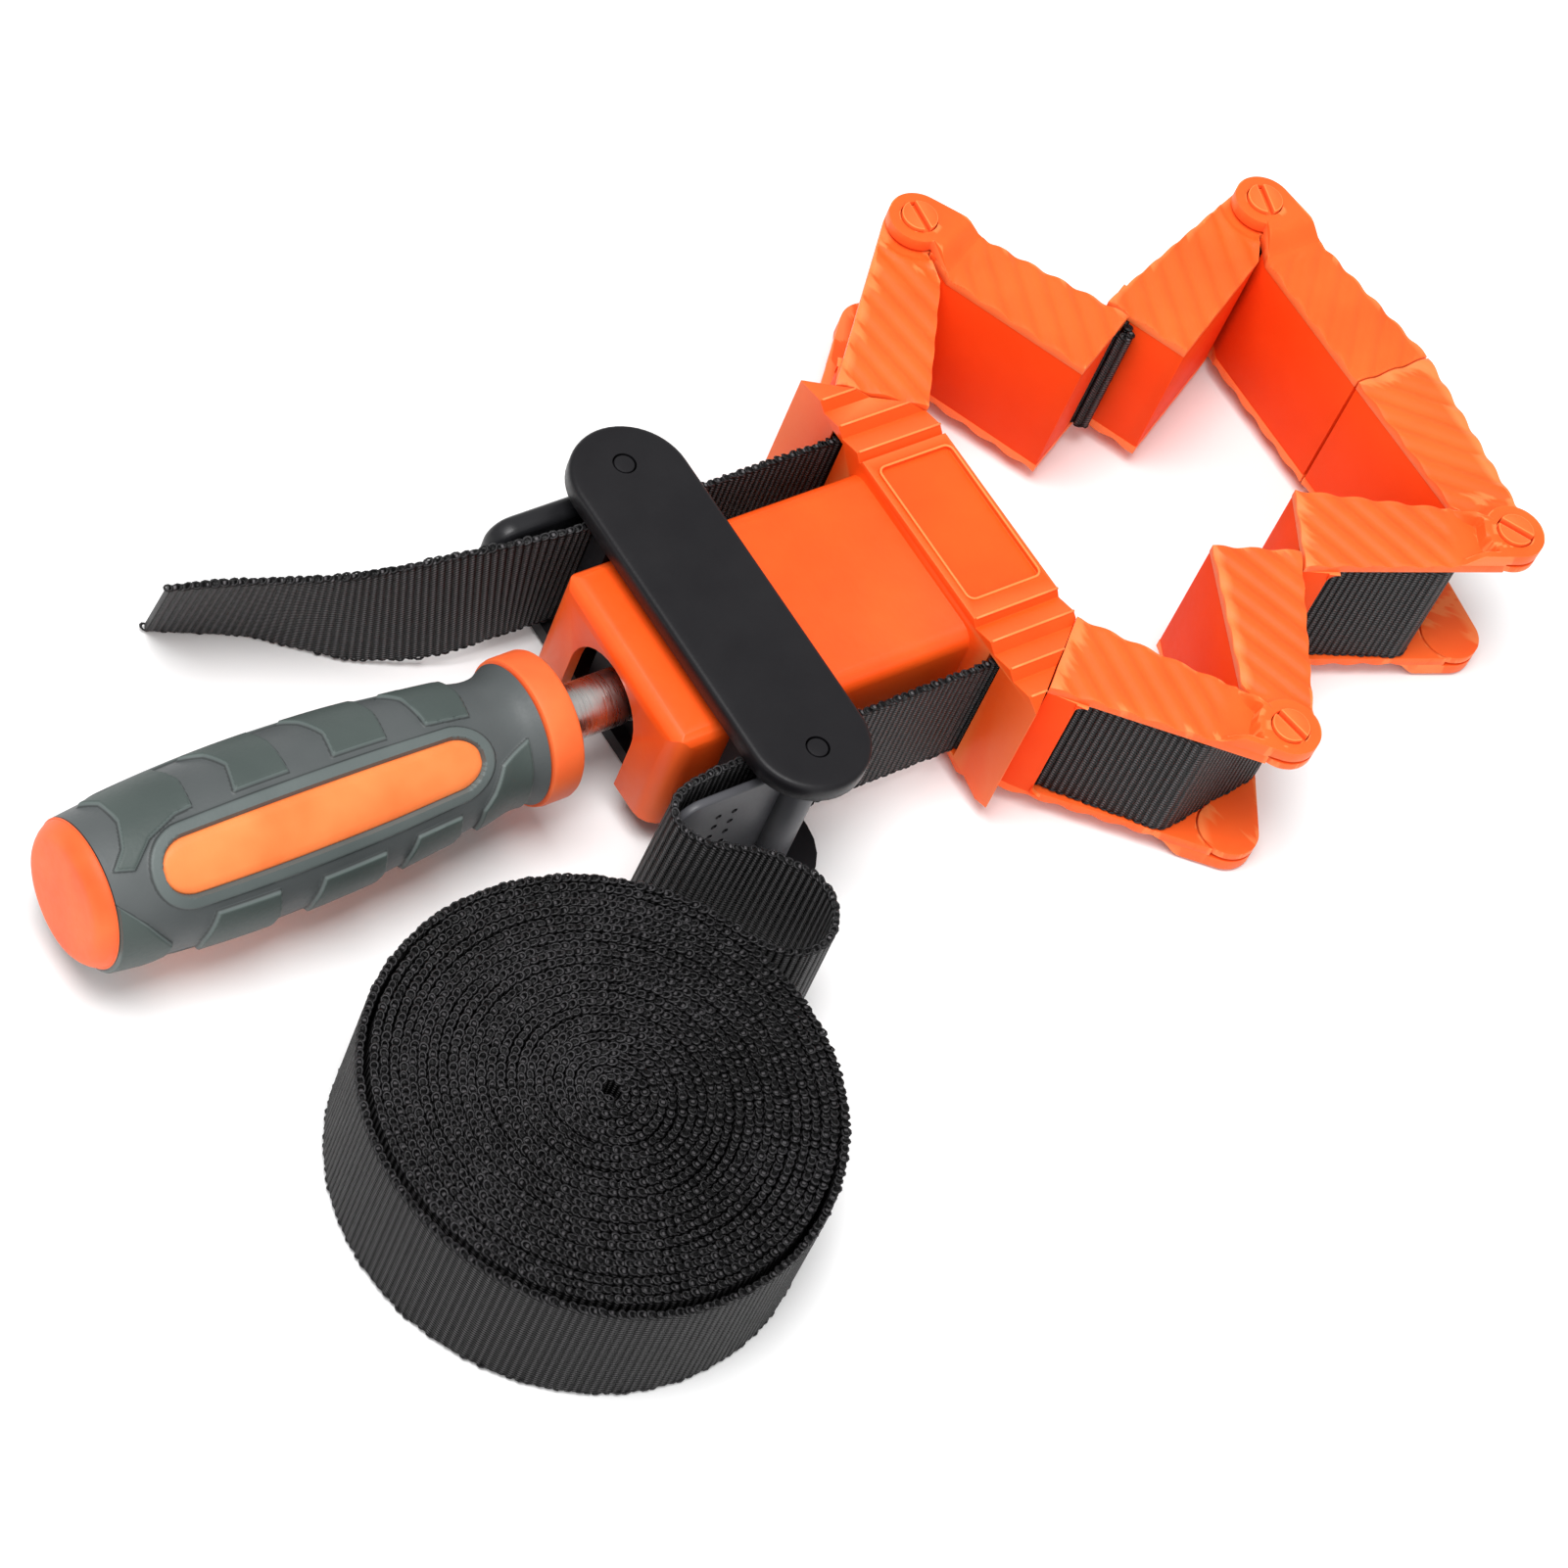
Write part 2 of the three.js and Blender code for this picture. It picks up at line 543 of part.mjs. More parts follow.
piece('left_lever_pin', rodZ([0, pin_y], pin_r, -yoke_plate_out, yoke_plate_out, 24), 'steel');
piece('right_lever_pin', rodZ([0, -pin_y], pin_r, -yoke_plate_out, yoke_plate_out, 24), 'steel');

// Cam levers
function lever(side, paddle) {
  const flip = (line) => line.map((p) => [p[0], p[1] * side]);
  const out = paddle ? paddle_out_y : lever_out_y;
  const hubLine = circle(0, pin_y, hub_r, hub_steps);
  const plate = [[0, lever_root_y[0]], [lever_end_x + lever_tip, lever_in_y], [lever_end_x, lever_in_y + lever_tip],
    [lever_end_x, lever_out_y], [paddle_x, lever_out_y], [0, lever_root_y[1]]];
  const face = paddle ? [[lever_end_x, lever_out_y - lever_skin], [lever_end_x, out],
    [paddle_x - yoke_edge_bevel, out], [paddle_x, out - yoke_edge_bevel], [paddle_x, lever_out_y - lever_skin]] : null;
  const sideView = rounded([[lever_end_x, -lever_half_h], [hub_r, -lever_half_h], [hub_r, lever_half_h],
    [lever_end_x, lever_half_h]], [lever_corner_r, 0, 0, lever_corner_r], 5);
  const y = [nose_y - hub_r, paddle_out_y + hub_r].map((v) => v * side).sort((a, b) => a - b);
  const trim = alongY(sideView, y[0], y[1]);
  let body = slab(flip(plate), -lever_half_h, lever_half_h);
  if (face) body = join(body, slab(flip(face), -lever_half_h, lever_half_h));
  body = meet(body, trim);
  const nose = nose_x.map((x, i) => [x, strap_y + nose_rise[i]]);
  body = join(body, slab(flip(hubLine), -yoke_plate_in + fit_gap, yoke_plate_in - fit_gap),
    slab(flip(nose), -strap_w / 2, strap_w / 2));
  body = cut(body, rodZ([0, pin_y * side], pin_r + run_fit, -mid_z, mid_z, 24));
  if (paddle) {
    for (const x of dimple_x) {
      for (const z of dimple_z) {
        const d = [out - dimple_depth, out + dimple_depth].map((v) => v * side).sort((a, b) => a - b);
        body = cut(body, alongY(circle(x, z, dimple_r, 8), d[0], d[1]));
      }
    }
  }
  return body;
}
piece('left_cam_lever', lever(1, true), 'dark');
piece('right_cam_lever', lever(-1, true), 'dark');

// Arms
const place = (arm) => {
  const [, hub, deg, side] = arm;
  const dir = [Math.cos(rad(deg)), Math.sin(rad(deg))];
  const inner = [-dir[1] * side, dir[0] * side];
  return (line) => line.map((p) => add(add(pivots[hub], dir, p[0]), inner, p[1]));
};

// Arm outline: round the knuckle, then straight to the far corner on the outer side
function armPlan() {
  const deg = 180 / Math.PI;
  const start = Math.atan2(arm_mitre[1], arm_mitre[0]) * deg;
  const leave = Math.atan2(arm_out, arm_len) - Math.acos(knuckle_r / Math.hypot(arm_len, arm_out));
  const arc = circle(0, 0, knuckle_r, 9, start, leave * deg + 360);
  return [[arm_len, arm_out], [arm_len, arm_in], [arm_in_u, arm_in], arm_mitre, ...arc.slice(1)];
}

// Slanting valleys between the ribs, wide at the face and narrow at the floor
function ribValleys(map, floor, face) {
  const s = Math.SQRT1_2;
  return Array.from({ length: rib_count }, (_, i) => {
    const strip = (half) => [[-1, -half], [1, -half], [1, half], [-1, half]].map(([a, b]) => {
      const along = a * arm_len;
      const across = rib_first + rib_pitch * i + b;
      return [arm_len / 2 + s * (along + across), s * (along - across)];
    });
    return hull([map(strip(rib_valley / 2)), face], [map(strip(rib_floor / 2)), floor]);
  });
}

function armBody(arm) {
  const map = place(arm);
  const over = arm[4] === 'over';
  const plan = map(armPlan());
  const hub = pivots[arm[1]];
  const plateIn = arm_half_h - arm_plate;
  const wallLine = [[arm_wall_u, arm_in - arm_wall], [arm_len, arm_in - arm_wall], [arm_len, arm_in],
    [arm_in_u, arm_in], [arm_wall_u, arm_mitre[1] + (arm_in - arm_mitre[1]) * (arm_wall_u - arm_mitre[0])
      / (arm_in_u - arm_mitre[0])]];
  let body = slab(map(wallLine), -plateIn, plateIn);
  body = join(body, slab(map([[arm_len - arm_end_wall, arm_slot_v[1]], [arm_len, arm_slot_v[1]],
    [arm_len, arm_in], [arm_len - arm_end_wall, arm_in]]), -plateIn, plateIn));
  body = join(body, slab(map([[arm_strip_u, arm_out], [arm_len, arm_out], [arm_len, arm_slot_v[0]],
    [arm_strip_u, arm_slot_v[0]]]), -plateIn, plateIn));
  for (const sign of [1, -1]) {
    const between = (a, b) => (sign > 0 ? [a, b] : [-b, -a]);
    const level = (line, a, b) => slab(line, ...between(a, b));
    const disc = (r, a, b, steps) => rodZ(hub, r, ...between(a, b), steps);
    const smoothEnd = disc(knuckle_r + arm_wall / 2, 0, mid_z, 14);
    let ribs = cut(join(...ribValleys(map, (arm_half_h - rib_depth) * sign, (arm_half_h + rib_depth) * sign)),
      smoothEnd);
    const rampPlan = (u) => map([[0, -knuckle_r], [u, -knuckle_r], [u, arm_in], [0, arm_in]]);
    if (over) ribs = cut(ribs, level(rampPlan(ramp_u[1]), 0, mid_z));
    let plate = cut(level(plan, plateIn, arm_half_h), ribs);
    if (over) {
      const ramp = hull([rampPlan(ramp_u[0]), knuckle_z[1] * sign], [rampPlan(ramp_u[1]), arm_half_h * sign],
        [rampPlan(ramp_u[1]), plateIn * sign]);
      plate = join(plate, meet(ramp, level(plan, plateIn, knuckle_z[1])), disc(knuckle_r, ...knuckle_z, 18));
      plate = cut(plate, disc(knuckle_clear_r, 0, knuckle_z[0], 16), disc(counterbore_r, counterbore_z, mid_z, 14));
    }
    body = join(body, cut(plate, disc(pivot_shank_r + run_fit, 0, mid_z, 16)));
  }
  return body;
}

for (const arm of arms) {
  piece(arm[0], armBody(arm), 'orange');
  const strapLine = place(arm)(softened(arm_strap_line, strap_bend_r, 2));
  piece(arm[0].replace('arm', 'strap'), slab(ribbon(strapLine, strap_t), -strap_w / 2, strap_w / 2), 'web');
}

// Strap end that bridges the seam between the two end arms, lapped inside both straps
const lapShift = strap_t / 2 + fit_gap + lap_t / 2;
const lapSlope = (arm_strap_line[1][1] - arm_strap_line[0][1]) / (arm_strap_line[0][0] - arm_strap_line[1][0]);
const lapPoint = (u) => [u, arm_strap_line[0][1] + lapShift + lapSlope * (arm_strap_line[0][0] - u)];
const lapLine = [...place(arms[3])([lapPoint(lap_u[0]), lapPoint(arm_len)]), ...place(arms[4])([lapPoint(arm_len),
  lapPoint(lap_u[1])])];
piece('seam_strap', slab(ribbon(lapLine, lap_t), -strap_w / 2, strap_w / 2), 'web');

// Pivot pins, slotted on top and plain underneath
const hinge = { a: 'left_inner', b: 'left_outer', c: 'right_outer', d: 'right_inner' };
const slot = slab([[-pivot_head_r * 2, -pivot_slot_half], [pivot_head_r * 2, -pivot_slot_half],
  [pivot_head_r * 2, pivot_slot_half], [-pivot_head_r * 2, pivot_slot_half]], pivot_slot_z, mid_z + pivot_head_r,
new THREE.Matrix4().makeRotationZ(rad(pivot_slot_deg)));
const pinHalf = (sign) => {
  const between = (a, b) => (sign > 0 ? [a, b] : [-b, -a]);
  return join(rodZ([0, 0], pivot_shank_r, ...between(pivot_foot_z, pivot_head_z[0] + fit_gap), 16),
    rodZ([0, 0], pivot_head_r, ...between(...pivot_head_z), 20));
};
for (const [key, hub] of Object.entries(pivots)) {
  piece(`${hinge[key]}_top_pin`, cut(pinHalf(1), slot), 'steel', hub);
  piece(`${hinge[key]}_bottom_pin`, pinHalf(-1), 'steel', hub);
}

// Strap runs between head and yoke
for (const [name, side] of [['left_strap_run', 1], ['right_strap_run', -1]]) {
  piece(name, slab(ribbon([[anvil_half_x + fit_gap * 2, strap_y * side], [head_x0 - fit_gap * 2, strap_y * side]],
    strap_t), -strap_w / 2, strap_w / 2), 'web');
}

// Free strap ends and the wound coil
const fromYoke = (line, y) => line.map((p) => [p[0], p[1] + y, p[2]]);
const tailLow = smooth(fromYoke(tail_low, strap_y), 36);
const tailHigh = smooth(fromYoke(tail_high, strap_y), 36);
piece('strap_tail', band(tailLow, tailHigh, strap_t), 'web');
const loopLow = smooth(fromYoke(loop_low, -strap_y), 54);
const loopHigh = smooth(fromYoke(loop_high, -strap_y), 54);
piece('strap_loop', band(loopLow, loopHigh, strap_t), 'web');

function coilPoints() {
  const total = coil_turns * coil_steps;
  const rows = [];
  for (let i = 0; i <= total; i += 1) {
    const t = rad(coil_start_deg + 360 * i / coil_steps);
    const r = coil_r - coil_pitch * i / coil_steps;
    rows.push([Math.cos(t), Math.sin(t), r]);
  }
  return rows;
}
const coilRows = coilPoints();
const coilAt = [];
for (const [c, s, r] of coilRows) {
  const inR = r - coil_band / 2;
  const outR = r + coil_band / 2;
  const at = (rr, z) => [coil_centre[0] + c * rr, coil_centre[1] + s * rr, z];
  coilAt.push(at(inR, coil_z[0]), at(outR, coil_z[0]), at(outR, coil_z[1]), at(inR, coil_z[1]));
}
let least = Infinity;
for (let i = 0; i + coil_steps < coilRows.length; i += 1) {
  const a = coilRows[i];
  const b = coilRows[i + coil_steps];
  const inner = a[2] - coil_band / 2;
  const outer = b[2] + coil_band / 2;
  least = Math.min(least, (inner - outer) * Math.cos(Math.PI / coil_steps));
}
console.log(`coil least gap to itself ${least.toFixed(3)} mm`);
piece('strap_coil', ring(coilAt, coilRows.length), 'web');

export default group;
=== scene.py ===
import math

import bmesh
import bpy
import numpy as np
from mathutils import Matrix, Vector


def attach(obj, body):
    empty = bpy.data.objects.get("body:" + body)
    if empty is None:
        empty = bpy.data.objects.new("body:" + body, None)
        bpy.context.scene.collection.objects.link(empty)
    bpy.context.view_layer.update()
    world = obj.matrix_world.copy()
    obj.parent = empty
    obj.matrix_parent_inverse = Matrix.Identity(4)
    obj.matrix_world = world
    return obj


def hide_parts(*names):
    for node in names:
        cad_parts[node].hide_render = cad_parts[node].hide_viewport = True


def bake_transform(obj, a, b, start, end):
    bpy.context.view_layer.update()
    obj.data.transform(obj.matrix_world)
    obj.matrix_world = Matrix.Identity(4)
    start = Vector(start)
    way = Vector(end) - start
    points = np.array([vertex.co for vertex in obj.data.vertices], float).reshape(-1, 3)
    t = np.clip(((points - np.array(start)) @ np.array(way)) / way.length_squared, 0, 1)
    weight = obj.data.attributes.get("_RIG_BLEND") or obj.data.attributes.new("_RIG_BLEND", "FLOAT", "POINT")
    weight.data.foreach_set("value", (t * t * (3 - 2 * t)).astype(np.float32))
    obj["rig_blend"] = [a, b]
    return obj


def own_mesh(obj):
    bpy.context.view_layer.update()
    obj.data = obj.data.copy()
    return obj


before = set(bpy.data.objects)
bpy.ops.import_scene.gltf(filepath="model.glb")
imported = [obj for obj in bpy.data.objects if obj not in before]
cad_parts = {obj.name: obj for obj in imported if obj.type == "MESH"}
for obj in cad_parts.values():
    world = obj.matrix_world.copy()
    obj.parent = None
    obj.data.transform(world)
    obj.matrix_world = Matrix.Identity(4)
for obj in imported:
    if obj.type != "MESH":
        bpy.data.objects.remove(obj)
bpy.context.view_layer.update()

# Camera. It stands above and behind the handle, where the photograph was taken, with a long lens, so that
# the whole clamp fills the picture.


def linked(name, data):
    made = bpy.data.objects.new(name, data)
    bpy.context.scene.collection.objects.link(made)
    return made


camera_data = bpy.data.cameras.new("camera")
camera_data.sensor_width = 36
camera_data.lens = 120.15
camera_data.clip_start = 0.05
camera_data.clip_end = 30
camera = linked("camera", camera_data)
camera.matrix_world = Matrix(((0.80930482, 0.31261163, -0.49729235, -0.41598),
                              (-0.52183923, 0.77129830, -0.36439366, -0.33183),
                              (0.26964705, 0.55441220, 0.78734845, 0.68018),
                              (0, 0, 0, 1)))
bpy.context.scene.camera = camera

# Free strap. One band of black polyester webbing, 25 mm wide, woven with cross ribs.
# Its free end leaves the yoke on the left; on the right it loops behind the lever
# and is wound into a flat coil that stands on the table.
WEB_WIDTH = .025
WEB_THICK = .0013
WEB_RIM = ((0, .4), (.01, .8), (.03, 1), (.12, 1), (.3, 1), (.5, 1), (.7, 1), (.88, 1), (.97, 1),
           (.99, .8), (1, .4))
WEB_RING = [*WEB_RIM, *((share, -full) for share, full in reversed(WEB_RIM))]
WEB_RIB = .00125
WEB_RIB_DEPTH = .00022
YARN_PITCH_MM = .6
STRAP_Z = (.0055, .0305)
STRAP_Y = .02425
TAIL_LOW = [
    (-.0078, .02425, .0055), (-.012, .0243, .0054), (-.02, .0246, .0051), (-.028, .0256, .0036),
    (-.0356, .0283, .0019), (-.043, .0322, .0009), (-.0496, .0373, .0006), (-.0561, .0425, .0004),
    (-.0636, .0462, .0003), (-.0712, .0497, .0003)]
TAIL_HIGH = [
    (-.0078, .0243, .0305), (-.012, .0245, .0304), (-.0238, .0262, .0298), (-.0316, .0284, .028),
    (-.0393, .0304, .0262), (-.0466, .0322, .0254), (-.0532, .0344, .0248), (-.0596, .037, .0242),
    (-.0664, .0394, .024), (-.0756, .0422, .0235)]
LOOP_LOW = [
    (-.0078, -.0243, .0055), (-.016, -.0249, .0053), (-.0223, -.0257, .0051), (-.0256, -.0277, .005),
    (-.0264, -.0313, .0049), (-.0244, -.0349, .0046), (-.0195, -.0378, .0042), (-.0146, -.0399, .0037),
    (-.0108, -.043, .0032), (-.0082, -.0464, .0027), (-.0073, -.0498, .0022), (-.0082, -.0536, .0017),
    (-.0112, -.0565, .0012), (-.0148, -.0574, .0008), (-.0183, -.0562, .0005), (-.0213, -.0536, .0003),
    (-.0236, -.0502, .0002)]
LOOP_HIGH = [
    (-.0078, -.0243, .0305), (-.016, -.0249, .0305), (-.0216, -.0258, .0305), (-.0247, -.0281, .0305),
    (-.0252, -.0316, .0301), (-.0229, -.0352, .0297), (-.0179, -.0381, .02925), (-.0139, -.0403, .0288),
    (-.0109, -.0435, .0283), (-.0084, -.0466, .0278), (-.0077, -.0499, .0273), (-.0086, -.0535, .0268),
    (-.0116, -.0565, .0263), (-.0149, -.0573, .0259), (-.0183, -.0562, .0255), (-.0213, -.0536, .0252),
    (-.0236, -.0502, .025)]
LOOP_CUT_X = -.016
COIL_CENTRE = Vector((-.0585, -.0655, 0))
COIL_RADIUS = .0382
COIL_PITCH = .0015
COIL_TURNS = 24.6
COIL_STEPS = 48
COIL_START = math.radians(24.6)


def give(tree, node, feeds):
    """Sets a node's inputs, by name or place, to values or to other nodes' outputs."""
    for place, value in feeds.items():
        if isinstance(value, bpy.types.NodeSocket):
            tree.links.new(value, node.inputs[place])
        else:
            node.inputs[place].default_value = value


def add(tree, kind, feeds=None, **settings):
    """A new node with its settings and inputs; gives back its first output."""
    node = tree.nodes.new(kind)
    for label, value in settings.items():
        setattr(node, label, value)
    give(tree, node, feeds or {})
    return node.outputs[0]


def calc(work, *values):
    """A sum with the given values, of which the first is another node's output."""
    return add(values[0].id_data, "ShaderNodeMath", dict(enumerate(values)), operation=work)


def ramp(source, stops):
    tree = source.id_data
    node = tree.nodes.new("ShaderNodeValToRGB")
    marks = node.color_ramp.elements
    while len(marks) < len(stops):
        marks.new(0.5)
    for mark, (place, colour) in zip(marks, stops):
        mark.position = place
        mark.color = (*colour, 1)
    tree.links.new(source, node.inputs[0])
    return node.outputs[0]


def noise(tree, scale, detail, stretch=(1, 1, 1)):
    where = tree.nodes.new("ShaderNodeTexCoord").outputs["Object"]
    where = add(tree, "ShaderNodeMapping", {0: where, "Scale": stretch})
    return add(tree, "ShaderNodeTexNoise", {"Vector": where, "Scale": scale, "Detail": detail})


def bump(height, distance, strength=1, **under):
    feeds = {"Height": height, "Distance": distance, "Strength": strength, **under}
    return add(height.id_data, "ShaderNodeBump", feeds)


def blank(name, gloss):
    """A new material, with its tree and its shader."""
    look = bpy.data.materials.new(name)
    look.use_nodes = True
    shader = look.node_tree.nodes["Principled BSDF"]
    shader.inputs["Specular IOR Level"].default_value = gloss
    return look, look.node_tree, shader


def finish(shader, colour, rough, normal, **more):
    give(shader.id_data, shader, {"Base Color": colour, "Roughness": rough, "Normal": normal, **more})


def webbing_finish(name, pale):
    # pale scales the webbing's colours and gloss; the coil's copy at six tenths is painted shade.
    look, tree, shader = blank(name, .3 * pale)
    where = add(tree, "ShaderNodeUVMap", uv_map="weave")
    along, across, _ = add(tree, "ShaderNodeSeparateXYZ", {0: where}).node.outputs
    row = calc("DIVIDE", along, WEB_RIB * 1000)
    part = calc("FRACT", row)
    ridge = calc("SINE", calc("MULTIPLY", part, math.pi))
    shift = calc("MULTIPLY_ADD", calc("FLOOR", row), .5, calc("MULTIPLY", part, .45))
    lay = calc("ADD", calc("DIVIDE", across, YARN_PITCH_MM), shift)
    yarn = calc("ABSOLUTE", calc("SINE", calc("MULTIPLY", lay, math.pi)))
    height = calc("MULTIPLY", ridge, calc("MULTIPLY_ADD", yarn, .7, .3))
    fuzz = noise(tree, 1400, 3)
    # The colour follows the weave's relief: near black in the hollows, painted shade, and lighter on the
    # yarns' tops, painted highlight.
    shade = calc("MULTIPLY", calc("POWER", height, 2), calc("MULTIPLY_ADD", fuzz, 1.1, .5))
    black = ramp(shade, ((0, (.0004, .0004, .0006)), (.4, (.005 * pale, .0048 * pale, .0054 * pale)),
                         (.95, (.09 * pale, .085 * pale, .09 * pale))))
    finish(shader, black, calc("MULTIPLY_ADD", fuzz, .3, .36), bump(height, .0005))
    return look


def yarn_finish():
    look, tree, shader = blank("selvedge_yarn", .3)
    twist = noise(tree, 2600, 3)
    patch = calc("MULTIPLY_ADD", noise(tree, 55, 2), .9, -.45)
    black = ramp(calc("ADD", twist, patch), ((.3, (.002, .0019, .0022)), (.7, (.019, .018, .02))))
    finish(shader, black, calc("MULTIPLY_ADD", twist, .3, .3), bump(twist, .0001))
    return look


webbing_look = webbing_finish("webbing", 1)
# A darker, less glossy copy of the same webbing for the coil: painted shade.
coil_shade_look = webbing_finish("webbing_painted_shade", .6)
yarn_look = yarn_finish()


def tube(rings, body=None, ends=True):
    """A skin over rings of points, alone or added to a body; without ends it meets itself."""
    verts, faces = body = body or ([], [])
    first, size = len(verts), len(rings[0])
    verts += [p for ring in rings for p in ring]
    for i in range(len(rings) - ends):
        a, b = first + i * size, first + (i + 1) % len(rings) * size
        for k in range(size):
            n = (k + 1) % size
            faces.append((a + k, a + n, b + n, b + k))
    if ends:
        faces.append(tuple(reversed(range(first, first + size))))
        faces.append(tuple(range(len(verts) - size, len(verts))))
    return body


def soften(mesh, sharp):
    """Smooths the faces, apart from edges sharper than an angle in degrees."""
    mesh.shade_smooth()
    mesh.set_sharp_from_angle(angle=math.radians(sharp))


def outward(mesh, sharp=180):
    shell = bmesh.new()
    shell.from_mesh(mesh)
    bmesh.ops.recalc_face_normals(shell, faces=shell.faces)
    shell.to_mesh(mesh)
    shell.free()
    soften(mesh, sharp)
    return mesh


def mesh_of(name, body, sharp=180, turn=Matrix()):
    mesh = bpy.data.meshes.new(name)
    mesh.from_pydata(body[0], [], body[1])
    mesh.transform(turn)
    return outward(mesh, sharp)


def object_of(name, mesh, look):
    piece = linked(name, mesh)
    mesh.materials.clear()
    mesh.materials.append(look)
    return piece


def flow(points, steps):
    """A smooth line through points, with some steps from each to the next."""
    points = [Vector(p) for p in points]
    points = [points[0] * 2 - points[1]] + points + [points[-1] * 2 - points[-2]]
    line = []
    for a, b, c, d in zip(points, points[1:], points[2:], points[3:]):
        t1 = (b - a).length ** 0.5
        t2 = t1 + (c - b).length ** 0.5
        t3 = t2 + (d - c).length ** 0.5
        for k in range(steps):
            t = t1 + (t2 - t1) * k / steps
            ab = a + (b - a) * (t / t1)
            bc = b + (c - b) * ((t - t1) / (t2 - t1))
            cd = c + (d - c) * ((t - t2) / (t3 - t2))
            abc = ab + (bc - ab) * (t / t2)
            bcd = bc + (cd - bc) * ((t - t1) / (t3 - t1))
            line.append(abc + (bcd - abc) * ((t - t1) / (t2 - t1)))
    line.append(points[-2])
    return line


def spaced(low, high, gap, until):
    """The two edge lines with their points a short way apart, as far as a length."""
    middle = [(a + b) / 2 for a, b in zip(low, high)]
    run = np.concatenate([[0], np.cumsum([(b - a).length for a, b in zip(middle, middle[1:])])])
    near = min(until, run[-1])
    stops = np.concatenate([np.linspace(0, near, max(2, int(near / gap))), run[run > near + gap]])
    lines = []
    for line in (low, high):
        axes = [np.interp(stops, run, [p[k] for p in line]) for k in range(3)]
        lines.append([Vector(p) for p in zip(*axes)])
    return lines


def webbing(name, low, high, look=webbing_look, thick=WEB_THICK, ribbed=1.0):
    """A woven band between two edge lines; its UV map has the places in the weave, in millimetres."""
    low, high = spaced(low, high, WEB_RIB / 6, ribbed)
    rings, places = [], []
    run = 0.0
    for i, (a, b) in enumerate(zip(low, high)):
        before, after = max(i - 1, 0), min(i + 1, len(low) - 1)
        along = (low[after] + high[after] - low[before] - high[before]).normalized()
        side = (b - a).normalized().cross(along).normalized() * (thick / 2)
        if i:
            run += ((a + b) - (low[i - 1] + high[i - 1])).length / 2
        if run <= ribbed:
            hollow = 1 - abs(math.sin(math.pi * run / WEB_RIB))
            side *= 1 - hollow * WEB_RIB_DEPTH / thick
        rings.append([a + (b - a) * share + side * full for share, full in WEB_RING])
        places += [(run * 1000, share * WEB_WIDTH * 1000) for share, _ in WEB_RING]
    mesh = mesh_of(name, tube(rings))
    weave = mesh.uv_layers.new(name="weave")
    for loop in mesh.loops:
        weave.data[loop.index].uv = places[loop.vertex_index]
    return object_of(name, mesh, look), run


def node_plan(name, given, sizes, made):
    """A Geometry Nodes group with one shape in, named sizes and one shape out."""
    tree = bpy.data.node_groups.new(name, "GeometryNodeTree")
    tree.interface.new_socket(given, in_out="INPUT", socket_type="NodeSocketGeometry")
    for label, size in sizes:
        tree.interface.new_socket(label, in_out="INPUT", socket_type="NodeSocketFloat").default_value = size
    tree.interface.new_socket(made, in_out="OUTPUT", socket_type="NodeSocketGeometry")
    return tree, tree.nodes.new("NodeGroupInput").outputs


def ended(tree, shape, look):
    """Makes a group's shape real and smooth, with its material, and sends it out."""
    real = add(tree, "GeometryNodeRealizeInstances", {0: shape})
    smooth = add(tree, "GeometryNodeSetShadeSmooth", {0: real})
    paint = add(tree, "GeometryNodeSetMaterial", {0: smooth, "Material": look})
    give(tree, tree.nodes.new("NodeGroupOutput"), {0: paint})
    return tree


def stitch_tree():
    sizes = (("Stitch Pitch", .0015), ("Yarn Radius", .00017), ("Ring Radius", .0005))
    tree, given = node_plan("selvedge_stitches", "Edge Line", sizes, "Stitches")
    line = add(tree, "GeometryNodeMeshToCurve", {0: given["Edge Line"]})
    points = add(tree, "GeometryNodeResampleCurve", mode="LENGTH")
    give(tree, points.node, {"Curve": line, "Length": given["Stitch Pitch"]})
    ring, yarn = [add(tree, "GeometryNodeCurvePrimitiveCircle", {"Resolution": sides, "Radius": given[size]})
                  for sides, size in ((9, "Ring Radius"), (4, "Yarn Radius"))]
    stitch = add(tree, "GeometryNodeCurveToMesh", {"Curve": ring, "Profile Curve": yarn})
    up = add(tree, "GeometryNodeInputNamedAttribute", {"Name": "across"}, data_type="FLOAT_VECTOR")
    ahead = add(tree, "GeometryNodeInputTangent")
    turn = add(tree, "FunctionNodeAxesToRotation", {"Primary Axis": up, "Secondary Axis": ahead},
               primary_axis="Z", secondary_axis="X")
    uneven, tilt = [
        add(tree, "FunctionNodeRandomValue", {0: least, 1: most, "Seed": seed}, data_type="FLOAT_VECTOR")
        for least, most, seed in (((1.3, .95, .9), (1.75, 1.35, 1.2), 7),
                                  ((-.3, .15, -.45), (.3, .5, .45), 11))]
    lean = add(tree, "FunctionNodeEulerToRotation", {0: tilt})
    leaning = add(tree, "FunctionNodeRotateRotation", {0: turn, 1: lean}, rotation_space="LOCAL")
    row = add(tree, "GeometryNodeInstanceOnPoints",
              {"Points": points, "Instance": stitch, "Rotation": leaning, "Scale": uneven})
    return ended(tree, row, yarn_look)


stitches = stitch_tree()


def baked(piece):
    return bpy.data.meshes.new_from_object(piece.evaluated_get(bpy.context.evaluated_depsgraph_get()))


def grown(tree, mesh, name, look):
    """What a Geometry Nodes group makes of a mesh, as a piece."""
    carrier = linked(name + "_carrier", mesh)
    carrier.modifiers.new("grow", "NODES").node_group = tree
    solid = baked(carrier)
    solid.name = name
    bpy.data.objects.remove(carrier)
    return object_of(name, solid, look)


